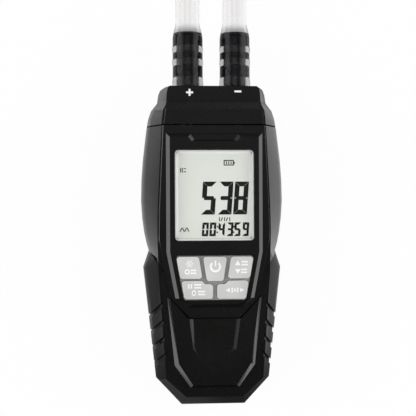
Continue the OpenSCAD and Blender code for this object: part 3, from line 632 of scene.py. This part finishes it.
class KeyLooks(bpy.types.PropertyGroup):
    cap: bpy.props.FloatVectorProperty(
        name="Key colour", description="Colour of the keys",
        default=(0.56, 0.56, 0.55), min=0, max=1, subtype="COLOR")
    mat: bpy.props.FloatVectorProperty(
        name="Mat colour", description="Colour of the mat round the keys",
        default=(0.27, 0.27, 0.265), min=0, max=1, subtype="COLOR")
    sign: bpy.props.FloatVectorProperty(
        name="Sign colour", description="Colour of the signs on the keys",
        default=(0.98, 0.98, 0.98), min=0, max=1, subtype="COLOR")


class StageLooks(bpy.types.PropertyGroup):
    camera_height: bpy.props.FloatProperty(
        name="Camera height", description="Height of the camera over the point it looks at",
        default=0.374, min=0.2, max=1, unit="LENGTH")
    camera_side: bpy.props.FloatProperty(
        name="Camera offset", description="How far the camera stands to the left",
        default=0.026, min=-0.1, max=0.1, unit="LENGTH")
    camera_roll: bpy.props.FloatProperty(
        name="Camera roll", description="Turn of the camera about its line of sight",
        default=math.radians(-0.25), min=-0.2, max=0.2, unit="ROTATION")
    lens: bpy.props.FloatProperty(
        name="Lens", description="Focal length of the camera in millimetres",
        default=80.3, min=20, max=200, unit="CAMERA")
    wall_light: bpy.props.FloatProperty(
        name="Wall light", description="Strength of the light from both sides", default=2.5, min=0, max=8)
    ceiling_light: bpy.props.FloatProperty(
        name="Ceiling light", description="Strength of the light from elsewhere",
        default=0.11, min=0, max=5)
    lamp_power: bpy.props.FloatProperty(
        name="Lamp power", description="Power of the soft lamp over the meter in watts",
        default=9.0, min=0, max=50)
    floor_tone: bpy.props.FloatVectorProperty(
        name="Floor colour", description="Colour of the floor",
        default=(0.9, 0.9, 0.9), min=0, max=1, subtype="COLOR")


class HoseLooks(bpy.types.PropertyGroup):
    tint: bpy.props.FloatVectorProperty(
        name="Hose tint", description="Tint of the clear hoses",
        default=(0.9, 0.895, 0.895), min=0, max=1, subtype="COLOR")
    # Painted shade: a darker tint for the hoses where they cover the ports
    stretched: bpy.props.FloatVectorProperty(
        name="Stretched tint", description="Tint of the hoses where they are stretched over the ports",
        default=(0.5, 0.495, 0.49), min=0, max=1, subtype="COLOR")
    length: bpy.props.FloatProperty(
        name="Hose length", description="Length of a hose from its port to its end",
        default=0.35, min=0.33, max=0.38, unit="LENGTH")
    diameter: bpy.props.FloatProperty(
        name="Hose diameter", description="Outer diameter of a hose",
        default=0.0095, min=0.009, max=0.0096, unit="LENGTH")
    wall: bpy.props.FloatProperty(
        name="Hose wall", description="Thickness of the hose's wall",
        default=0.00145, min=0.0008, max=0.0015, unit="LENGTH")


# Stage


class METER_OT_stage(bpy.types.Operator):
    """Adds the camera, floor, world and lamp"""

    bl_idname = "meter.stage"
    bl_label = "Stage"

    def execute(self, context):
        looks = context.scene.meter_stage
        scene = context.scene
        scene.view_settings.view_transform = "Standard"
        self.add_camera(scene, looks)
        self.add_floor(looks)
        scene.world = studio_world("studio", looks.ceiling_light, looks.wall_light)
        self.add_lamp(scene, looks)
        return {"FINISHED"}

    def add_camera(self, scene, looks):
        """Stands the camera over the meter, a little to its left, with the ports at the picture's top."""
        aim = Vector((-1.5, 4.2, 16)) * MM
        eye = aim + Vector((-looks.camera_side, 0, looks.camera_height))
        back = (eye - aim).normalized()
        right = Vector((0, 1, 0)).cross(back).normalized()
        up = back.cross(right)
        camera = bpy.data.cameras.new("Camera")
        camera.sensor_fit = "AUTO"
        camera.sensor_width = 36
        camera.lens = looks.lens
        camera.clip_start = 0.01
        seat = bpy.data.objects.new("Camera", camera)
        scene.collection.objects.link(seat)
        seat.matrix_world = (Matrix.Translation(eye) @ Matrix((right, up, back)).transposed().to_4x4()
                             @ Matrix.Rotation(looks.camera_roll, 4, "Z"))
        scene.camera = seat

    def add_floor(self, looks):
        """Lays a wide floor just under the resting surface."""
        bpy.ops.object.select_all(action="DESELECT")
        bpy.ops.mesh.primitive_plane_add(size=6, location=(0, 0, -0.0001))
        floor = settled(bpy.context.active_object)
        floor.name = "floor"
        given(floor, studio_floor("floor_white", looks.floor_tone))

    def add_lamp(self, scene, looks):
        """Hangs a wide soft lamp over the meter, which shiny pieces don't mirror."""
        lamp = bpy.data.lights.new("overhead", "AREA")
        lamp.shape = "DISK"
        lamp.size = 1.2
        lamp.energy = looks.lamp_power
        holder = bpy.data.objects.new("overhead", lamp)
        scene.collection.objects.link(holder)
        holder.location = (-0.1, 0.1, 1.3)
        holder.visible_glossy = False


# Hoses


def eased(share):
    """A share from 0 to 1 that starts and ends gently."""
    return share * share * (3 - 2 * share)


def hose_route(side, radius, length):
    """The route of a hose in millimetres: out of the port, down to the surface, round the fold and back."""
    start = Vector((side * PORT_GAP / 2, HOSE_START_Y, PORT_Z))
    drop = Vector((start.x, DROP_START_Y, PORT_Z))
    way = Vector((FOLD_X - radius, FOLD_Y, REST_Z)) - drop
    straight_steps = 38
    falling_steps = 30
    fold_step = 5
    tail_step = 6
    route = [start + (drop - start) * k / straight_steps for k in range(straight_steps)]
    for k in range(falling_steps + 1):
        share = k / falling_steps
        route.append(drop + Vector((way.x * eased(share), way.y * share, way.z * eased(share))))
    for angle in range(180 - fold_step, -1, -fold_step):
        route.append(Vector((*on_circle(FOLD_X, FOLD_Y, radius, angle), REST_Z)))
    used = sum((b - a).length for a, b in zip(route, route[1:]))
    tail = length / MM - used
    steps = max(4, int(tail / tail_step))
    route += [Vector((FOLD_X + radius, FOLD_Y - tail * k / steps, REST_Z)) for k in range(1, steps + 1)]
    return route


def hose_radius(run, diameter):
    """Outer radius of a hose in millimetres at a distance from its start: rings, stretch, taper, plain."""
    base = diameter / MM / 2
    for ring, width in RINGS:
        if abs(run - ring) < width:
            return STRETCHED_RADIUS + RING_RISE * (0.5 + 0.5 * math.cos(math.pi * (run - ring) / width))
    if run < STRETCHED_LENGTH:
        return STRETCHED_RADIUS
    if run < STRETCHED_LENGTH + TAPER_LENGTH:
        share = (run - STRETCHED_LENGTH) / TAPER_LENGTH
        return base + (STRETCHED_RADIUS - base) * (1 - eased(share))
    return base


def hose(name, side, radius, looks, finish):
    """Makes a hose with an open bore along its route."""
    route = hose_route(side, radius, looks.length)
    line = bpy.data.curves.new(name, "CURVE")
    line.dimensions = "3D"
    line.bevel_depth = MM
    line.bevel_resolution = 12
    spline = line.splines.new("POLY")
    spline.points.add(len(route) - 1)
    run = 0
    for i, point in enumerate(route):
        if i:
            run += (point - route[i - 1]).length
        spline.points[i].co = (*(point * MM), 1)
        spline.points[i].radius = hose_radius(run, looks.diameter)
    piece = bpy.data.objects.new(name, line)
    bpy.context.scene.collection.objects.link(piece)
    alone(piece)
    bpy.ops.object.convert(target="MESH")
    piece = bpy.context.active_object
    applied(piece, "SOLIDIFY", thickness=looks.wall, offset=-1, use_even_offset=True)
    alone(piece)
    bpy.ops.object.shade_smooth_by_angle(angle=math.radians(40))
    given(piece, finish)
    end = "plus" if side < 0 else "minus"
    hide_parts("hose_cuff_" + end, "hose_run_" + end, "hose_end_" + end)
    part_of(piece, "housing", "hose_clear")
    tuple(route[0] * MM)
    [tuple(p * MM) for p in route]


class METER_OT_tie(bpy.types.Operator):
    """Dresses the strap that holds the folded hoses and adds its overlapping end"""

    bl_idname = "meter.tie"
    bl_label = "Hose tie"

    def execute(self, context):
        weave = woven_strap("tie_fabric", (0.02, 0.02, 0.021))
        part_of(moulded_copy("hose_tie", "tie_strap", weave, bevel=0.00012), "housing", "tie_fabric")
        low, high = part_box("hose_tie")
        middle = (low + high) / 2
        long = 0.026
        wide = high.y - low.y - 0.0006
        thick = 0.0006
        lift = 0.00025
        bpy.ops.object.select_all(action="DESELECT")
        bpy.ops.mesh.primitive_cube_add(size=1, location=(middle.x, middle.y, high.z + lift))
        end = context.active_object
        end.name = "tie_end"
        end.scale = (long, wide, thick)
        settled(end)
        bpy.ops.object.mode_set(mode="EDIT")
        bpy.ops.mesh.select_all(action="SELECT")
        bpy.ops.mesh.bevel(offset=0.0002, segments=2, affect="EDGES")
        bpy.ops.object.mode_set(mode="OBJECT")
        part_of(given(end, weave), "housing", "tie_fabric")
        return {"FINISHED"}


class METER_OT_hoses(bpy.types.Operator):
    """Makes the two clear hoses, from the ports to their free ends"""

    bl_idname = "meter.hoses"
    bl_label = "Hoses"

    def execute(self, context):
        looks = context.scene.meter_hoses
        port_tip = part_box("port_plus")[1].y
        finish = clear_tube("hose_clear", looks.tint, looks.stretched, port_tip, roughness=0.03)
        hose("clear_hose_plus", -1, OUTER_FOLD, looks, finish)
        hose("clear_hose_minus", 1, INNER_FOLD, looks, finish)
        return {"FINISHED"}


# Housing


class METER_OT_shells(bpy.types.Operator):
    """Dresses the back shell, front shell, top cap and battery door with rounded moulded edges"""

    bl_idname = "meter.shells"
    bl_label = "Shells"

    def execute(self, context):
        looks = context.scene.meter_housing
        shell = moulded_plastic("housing_grey", looks.shell,
                                roughness=0.36, gloss=0.5, grain=2400, depth=0.00004)
        front = moulded_plastic("front_black", looks.front,
                                roughness=0.24, gloss=0.7, grain=3200, depth=0.00002)
        for node, name, finish, body, slot, angle, reshape in (
            ("back_shell", "shell_back", shell, "housing", "housing_grey", 32, None),
            ("front_shell", "shell_front", front, "housing", "front_black", 18, self.shape_recesses),
            ("top_cap", "cap_top", front, "housing", "housing_grey", 24, None),
            ("battery_door", "door_battery", shell, "door", "housing_grey", 32, None),
        ):
            piece = moulded_copy(node, name, finish, looks.edge, smooth_angle=angle, roomy=True,
                                 reshape=reshape)
            part_of(piece, body, slot)
        return {"FINISHED"}

    def shape_recesses(self, piece):
        """Slopes the walls of the bare recess above the display, and evens the scoop in the lower front."""
        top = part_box("front_shell")[1].z / MM
        bay_floor = top - 0.7
        scoop_floor = top - 2
        past_housing = 100

        def on_floor(corner, floor, slack, side, across, along):
            x, y, z = corner / MM
            return abs(z - floor) < slack and across[0] < side * x < across[1] and along[0] < y < along[1]

        for floor, across, along, (x, y) in (
            (bay_floor, (10.5, 12.5), (29.5, past_housing), (-1.7, 0)),
            (bay_floor, (8, 10.5), (29.5, 30.5), (-1.2, 0.5)),
            (scoop_floor, (6, past_housing), (-52, -45), (0.4, -2.4)),
            (scoop_floor, (3, 5), (-52, -45), (0.5, -3.6)),
        ):
            for side in (-1, 1):
                moved(piece, lambda corner: on_floor(corner, floor, 0.1, side, across, along),
                      (side * x, y, 0))
        rise = 0.22
        moved(piece, lambda corner: on_floor(corner, scoop_floor, 0.15, 1, (-9.5, 9.5), (-56, -38.5)),
              (0, 0, rise))


class METER_OT_grips(bpy.types.Operator):
    """Dresses the two ridged side grips in soft rubber"""

    bl_idname = "meter.grips"
    bl_label = "Side grips"

    def execute(self, context):
        looks = context.scene.meter_housing
        rubber = soft_rubber("grip_rubber", looks.grip, roughness=0.3, gloss=0.06)
        for side in ("left", "right"):
            piece = moulded_copy("grip_" + side, "rubber_grip_" + side, rubber, looks.edge, roomy=True)
            part_of(piece, "housing", "grip_rubber")
        return {"FINISHED"}


class METER_OT_port_marks(bpy.types.Operator):
    """Adds the plus and minus marks on the top cap"""

    bl_idname = "meter.port_marks"
    bl_label = "Port marks"

    def execute(self, context):
        looks = context.scene.meter_display
        white = moulded_plastic("mark_white", looks.mark, roughness=0.5, gloss=0.3, grain=3000, depth=0.00001)
        under_top = 3
        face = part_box("top_cap")[1].z / MM - under_top
        sunk, proud = 0.02, 0.04
        long, wide = 2.7, 0.75
        plus_x, plus_y = -9.35, 49.4
        minus_x, minus_y = 9.6, 49.85
        form = bar_form(long, wide, face - sunk, face + proud, points=4)
        arm = (long - wide) / 2
        marks = [copied(form, plus_x, plus_y), copied(form, minus_x, minus_y)]
        for side in (-1, 1):
            marks.append(copied(form, plus_x, plus_y + side * (wide + arm) / 2, 90, (arm / long, 1)))
        dropped(form)
        part_of(given(joined(marks, "port_marks"), white), "housing", "white_plastic")
        return {"FINISHED"}


# Display


def digits(text, middles, low, size, width, z):
    """The leaning bars of seven-segment digits round their middles; all sizes in millimetres."""
    wide, tall = size
    gap = 0.03 * width
    cut = 0.3 * width
    tips = 0.65 * width
    slim = 0.85 * width
    top = z + INK_THICKNESS
    outer = bar_form(wide - 2 * gap, width, z, top, points=4, insets=(width, width))
    upper = bar_form(tall / 2 - gap, width, z, top, points=4, insets=(width, cut))
    lower = bar_form(tall / 2 - gap, width, z, top, points=4, insets=(cut, width))
    across = bar_form(wide - tips, slim, z, top)
    reach = (wide - width) / 2
    places = {
        "a": (outer, 0, tall - width / 2, 0), "d": (outer, 0, width / 2, 180), "g": (across, 0, tall / 2, 0),
        "b": (upper, reach, 0.75 * tall, -90), "c": (lower, reach, 0.25 * tall, -90),
        "f": (lower, -reach, 0.75 * tall, 90), "e": (upper, -reach, 0.25 * tall, 90),
    }
    lean = Matrix.Identity(4)
    lean[0][1] = DIGIT_LEAN
    marks = []
    for character, middle in zip(text, middles):
        stand = Matrix.Translation(((middle - DIGIT_LEAN * tall / 2) * MM, low * MM, 0))
        for letter in SEGMENTS[character]:
            form, x, y, turn = places[letter]
            mark = copied(form, x, y, turn)
            mark.data.transform(stand @ lean)
            marks.append(mark)
    dropped(outer, upper, lower, across)
    return marks


def sign_strokes():
    """The small signs of the display as strokes: x, y, turn in degrees and length, in millimetres."""
    cell_x, cell_y = 5.7, 21.8
    yield from ((cell_x, cell_y + side * 0.9, 0, 3.6) for side in (1, -1))
    yield from ((cell_x + side * 1.8, cell_y, 90, 2.16) for side in (-1, 1))
    yield from ((cell_x + step * 0.9, cell_y, 90, 1.1) for step in (-1, 0, 1))
    yield cell_x + 2.2, cell_y, 90, 0.8
    yield from ((x, 18.9, 90, 1.8) for x in (-13.1, -12.4))
    yield from ((-11.4, y, 0, 0.9) for y in (19.5, 18.3))
    yield from ((-13.0 + 0.9 * step, -4.2, 65 * (-1) ** step, 1.7) for step in range(4))
    yield from ((x, -0.2, 90, 1.5) for x in (2.0, 4.0, 6.0))
    yield from ((x, -0.2, 70, 1.5) for x in (2.9, 4.9))


def display_rim(low, high, depth):
    """The white rim under the window's border: a flat ring on the ledge and a sleeve down to the display."""
    gap = 0.00001
    corner_radius = 0.0014
    border = 0.00056
    skin = 0.00003
    middle = (low + high) / 2
    bpy.ops.object.select_all(action="DESELECT")
    bpy.ops.mesh.primitive_plane_add(size=1, location=(middle.x, middle.y, low.z - gap))
    rim = bpy.context.active_object
    rim.name = "display_rim"
    rim.scale = (high.x - low.x, high.y - low.y, 1)
    settled(rim)
    bpy.ops.object.mode_set(mode="EDIT")
    bpy.ops.mesh.select_all(action="SELECT")
    bpy.ops.mesh.bevel(offset=corner_radius, segments=6, affect="VERTICES")
    bpy.ops.mesh.select_all(action="SELECT")
    bpy.ops.mesh.inset(thickness=border)
    bpy.ops.mesh.extrude_region_move(TRANSFORM_OT_translate={"value": (0, 0, -depth)})
    bpy.ops.mesh.delete(type="FACE")
    bpy.ops.object.mode_set(mode="OBJECT")
    return applied(rim, "SOLIDIFY", thickness=skin, offset=-1)


class METER_OT_display(bpy.types.Operator):
    """Makes the display: window, rim, display face, digits and small signs"""

    bl_idname = "meter.display"
    bl_label = "Display"

    def execute(self, context):
        looks = context.scene.meter_display
        low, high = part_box("display_window")
        glass_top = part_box("lcd_glass")[1].z
        # The display's painted highlight and painted shade run along a border just inside the window's
        # opening
        border = Vector((0.0005, 0.0005, 0))
        dressed(display_face("lcd_grey", looks.glass, low + border, high - border), "lcd_glass")
        holder = moulded_plastic("white_plastic", looks.mark,
                                 roughness=0.45, gloss=0.4, grain=1800, depth=0.00002)
        dressed(holder, "lcd_frame", "lcd_light_guide")
        dressed(soft_rubber("zebra_rubber", (0.05, 0.05, 0.05), roughness=0.6, gloss=0.3), "zebra_strip")
        window = moulded_copy("display_window", "window_clear", clear_sheet("window_clear"), bevel=0.00025)
        part_of(window, "housing", "window_clear")
        white = moulded_plastic("rim_white", looks.mark, roughness=0.5, gloss=0.3, grain=1800, depth=0.00001)
        rim_gap = 0.00004
        rim = display_rim(low, high, low.z - glass_top - rim_gap)
        part_of(given(rim, white), "housing", "white_plastic")
        ink_gap = 0.005
        self.add_marks(looks, glass_top / MM + ink_gap)
        return {"FINISHED"}

    def add_marks(self, looks, z):
        """Adds the digits, colons and small signs at a height in millimetres."""
        marks = digits(looks.reading, (-2.1, 4.4, 10.45), low=1.65, size=(5.4, 12.8), width=1.85, z=z)
        marks += digits(looks.timer, (-3.55, -0.6, 2.8, 6.1, 9.0, 12.25), low=-6.8, size=(2.5, 5.35),
                        width=0.92, z=z)
        dot = bar_form(length=0.6, width=0.6, low=z, high=z + INK_THICKNESS, points=4)
        for x in (1.1, 7.5):
            marks += [copied(dot, x, -5.3), copied(dot, x + 0.15, -3.1)]
        stroke = bar_form(length=1, width=0.36, low=z, high=z + INK_THICKNESS, points=4)
        for x, y, turn, length in sign_strokes():
            marks.append(copied(stroke, x, y, turn, (length, 1)))
        dropped(dot, stroke)
        ink = moulded_plastic("segment_ink", looks.ink, roughness=0.6, gloss=0.1, grain=2000, depth=0.00001)
        part_of(given(joined(marks, "display_segments"), ink), "housing", "chip_black")


# Keypad


class METER_OT_keypad(bpy.types.Operator):
    """Makes the keypad mat and the five keys with their printed signs"""

    bl_idname = "meter.keypad"
    bl_label = "Keypad"

    def execute(self, context):
        looks = context.scene.meter_keys
        mat = soft_rubber("mat_grey", looks.mat, roughness=0.55, gloss=0.35)
        light_grey = moulded_plastic("key_light_grey", looks.cap,
                                     roughness=0.4, gloss=0.4, grain=2600, depth=0.00002)
        white = moulded_plastic("key_print", looks.sign, roughness=0.5, gloss=0.3, grain=3000, depth=0.00001)
        pad = moulded_copy("keypad_mat", "rubber_keypad", mat, bevel=0.0001, thin=False)
        part_of(pad, "housing", "mat_grey")
        key_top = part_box("key_power")[1].z / MM
        sunk, proud = 0.02, 0.035
        for key, marks in self.signs(key_top - sunk, key_top + proud).items():
            body = key + "_button"
            cap = moulded_copy("key_" + key, "cap_" + key, light_grey, bevel=0.00045, segments=3)
            part_of(cap, body, "key_light_grey")
            part_of(given(joined(marks, "sign_" + key), white), body, "white_plastic")
        return {"FINISHED"}

    def signs(self, low, high):
        """The marks of each key, between two heights; all sizes in millimetres."""
        bar = bar_form(length=1, width=0.62, low=low, high=high, points=4)
        ring = ring_form(radius=1, width=0.6, low=low, high=high)
        wedge = wedge_form(width=2.2, height=2.0, low=low, high=high)
        open_ring = ring_form(radius=1.8, width=0.85, low=low, high=high, sides=36)
        picked(open_ring, lambda corner: corner.y > 1.3 * abs(corner.x))
        bpy.ops.mesh.delete(type="VERT")
        bpy.ops.mesh.select_all(action="SELECT")
        bpy.ops.mesh.fill_holes(sides=8)
        bpy.ops.object.mode_set(mode="OBJECT")

        def bars(*places):
            return [copied(bar, x, y, turn, (length, 1)) for x, y, turn, length in places]

        def lines(x, y, length):
            half_gap = 0.56
            return bars((x, y + half_gap, 0, length), (x, y - half_gap, 0, length))

        def spokes(x, y, radius, length):
            return bars(*((*on_circle(x, y, radius, angle), angle, length) for angle in range(0, 360, 60)))

        marks = {
            "backlight": [
                copied(ring, -9.85, -17.3, size=(0.5, 0.5)), *spokes(-9.85, -17.3, 1.1, 0.4),
                copied(ring, -10.8, -20.4, size=(0.8, 0.8)), *lines(-8.4, -20.4, 2.2),
            ],
            "power": [copied(open_ring, 0.13, -18.5), *bars((0.13, -17.2, 90, 2.2))],
            "max_min": [
                copied(wedge, 8.8, -17.35), copied(wedge, 8.8, -20.1, 180),
                *lines(11.5, -17.2, 2.5), *lines(11.2, -20.2, 2.3),
            ],
            "hold_zero": [
                *bars((-10.2, -26.0, 90, 1.8), (-9.2, -26.0, 90, 1.8)), *lines(-6.8, -26.0, 2.8),
                copied(ring, -8.2, -28.6, size=(0.65, 0.9)), *lines(-5.3, -28.6, 2.8),
            ],
            "units": [
                copied(wedge, 5.1, -27.6, 90, (0.8, 0.8)), copied(wedge, 10.2, -27.6, -90, (0.8, 0.8)),
                *bars((6.6, -27.6, 90, 1.9), (7.65, -27.6, 90, 1.3), (8.7, -27.6, 90, 1.9)),
            ],
        }
        dropped(bar, ring, wedge, open_ring)
        return marks


# Ports and the inside


class METER_OT_fittings(bpy.types.Operator):
    """Dresses the hose ports, seals, nuts, sensor and its tubes"""

    bl_idname = "meter.fittings"
    bl_label = "Ports and sensor"

    def execute(self, context):
        groove_radius = 0.0037
        groove_corners = (0.0034, 0.0039)
        first_groove_y = 0.0525
        shown_radius = 0.0044
        painted_light_radius = 0.0045
        port_axis = Vector((PORT_GAP / 2, 0, PORT_Z)) * MM
        # The paler colour inside the grooves is painted light, for the light seen through the hose around the
        # necks
        black = barbed_plastic("port_black", (0.0032, 0.0045, 0.008), (0.03, 0.029, 0.027), port_axis,
                               painted_light_radius)
        for end, side in (("plus", -1), ("minus", 1)):
            axis = Vector((side * port_axis.x, 0, port_axis.z))
            port = moulded_copy("port_" + end, "barbed_port_" + end, black, bevel=0.00008)

            def grooved(corner):
                reach = Vector((corner.x - axis.x, corner.z - axis.z)).length
                return groove_corners[0] < reach < groove_corners[1] and corner.y > first_groove_y

            part_of(widened(port, grooved, shown_radius / groove_radius, axis), "housing", "port_black")
        seal = soft_rubber("seal_rubber", (0.015, 0.015, 0.015), roughness=0.5, gloss=0.4)
        brass = bare_metal("nut_brass", (0.75, 0.57, 0.26), roughness=0.3, stretch=(1, 40, 1))
        sensor = moulded_plastic("sensor_black", (0.02, 0.02, 0.021),
                                 roughness=0.5, gloss=0.4, grain=1500, depth=0.00004)
        tubing = soft_rubber("silicone_tube", (0.72, 0.72, 0.7), roughness=0.4, gloss=0.4)
        dressed(seal, "port_seals")
        dressed(brass, "port_nuts")
        dressed(sensor, "pressure_sensor")
        dressed(tubing, "sensor_tube_plus", "sensor_tube_minus")
        return {"FINISHED"}


class METER_OT_inside(bpy.types.Operator):
    """Dresses the board, its chips, the cells, their contacts and the screws"""

    bl_idname = "meter.inside"
    bl_label = "Board, cells and screws"

    def execute(self, context):
        cell_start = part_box("cell_middle")[0].y
        band_ends = (cell_start + 0.006, cell_start + 0.014)
        sleeve = printed_sleeve("cell_sleeve", (0.42, 0.44, 0.47), (0.03, 0.035, 0.045), band_ends)
        chips = moulded_plastic("chip_black", (0.02, 0.02, 0.021),
                                roughness=0.45, gloss=0.4, grain=1500, depth=0.00003)
        spring_steel = bare_metal("spring_steel", (0.78, 0.78, 0.79), roughness=0.25, stretch=(1, 1, 30))
        screw_steel = bare_metal("screw_steel", (0.62, 0.62, 0.63), roughness=0.3, stretch=(1, 1, 30))
        dressed(circuit_board("board_green", (0.012, 0.11, 0.045)), "main_board")
        dressed(chips, "board_chips")
        dressed(sleeve, "cell_left", "cell_middle", "cell_right")
        dressed(spring_steel, "contact_springs", "contact_plates")
        dressed(screw_steel, "case_screws", "board_screws")
        return {"FINISHED"}


# The add-on


class METER_PT_parts(bpy.types.Panel):
    """Lists the sizes and colours and the steps that dress the manometer"""

    bl_label = "Manometer"
    bl_idname = "METER_PT_parts"
    bl_space_type = "VIEW_3D"
    bl_region_type = "UI"
    bl_category = "Manometer"

    def draw(self, context):
        for name, group in LOOKS:
            looks = getattr(context.scene, name)
            for value in group.__annotations__:
                self.layout.prop(looks, value)
        for step in STEPS:
            self.layout.operator(step.bl_idname)


STEPS = (
    METER_OT_stage, METER_OT_tie, METER_OT_hoses, METER_OT_shells, METER_OT_grips, METER_OT_port_marks,
    METER_OT_display, METER_OT_keypad, METER_OT_fittings, METER_OT_inside,
)
LOOKS = (
    ("meter_stage", StageLooks), ("meter_housing", HousingLooks), ("meter_display", DisplayLooks),
    ("meter_keys", KeyLooks), ("meter_hoses", HoseLooks),
)


def register():
    for name, group in LOOKS:
        bpy.utils.register_class(group)
        setattr(bpy.types.Scene, name, bpy.props.PointerProperty(type=group))
    for step in STEPS:
        bpy.utils.register_class(step)
    bpy.utils.register_class(METER_PT_parts)


def unregister():
    bpy.utils.unregister_class(METER_PT_parts)
    for step in reversed(STEPS):
        bpy.utils.unregister_class(step)
    for name, group in reversed(LOOKS):
        delattr(bpy.types.Scene, name)
        bpy.utils.unregister_class(group)


def main():
    register()
    for step in STEPS:
        kind, name = step.bl_idname.split(".")
        getattr(getattr(bpy.ops, kind), name)()
    bpy.context.view_layer.update()


if __name__ == "__main__":
    main()
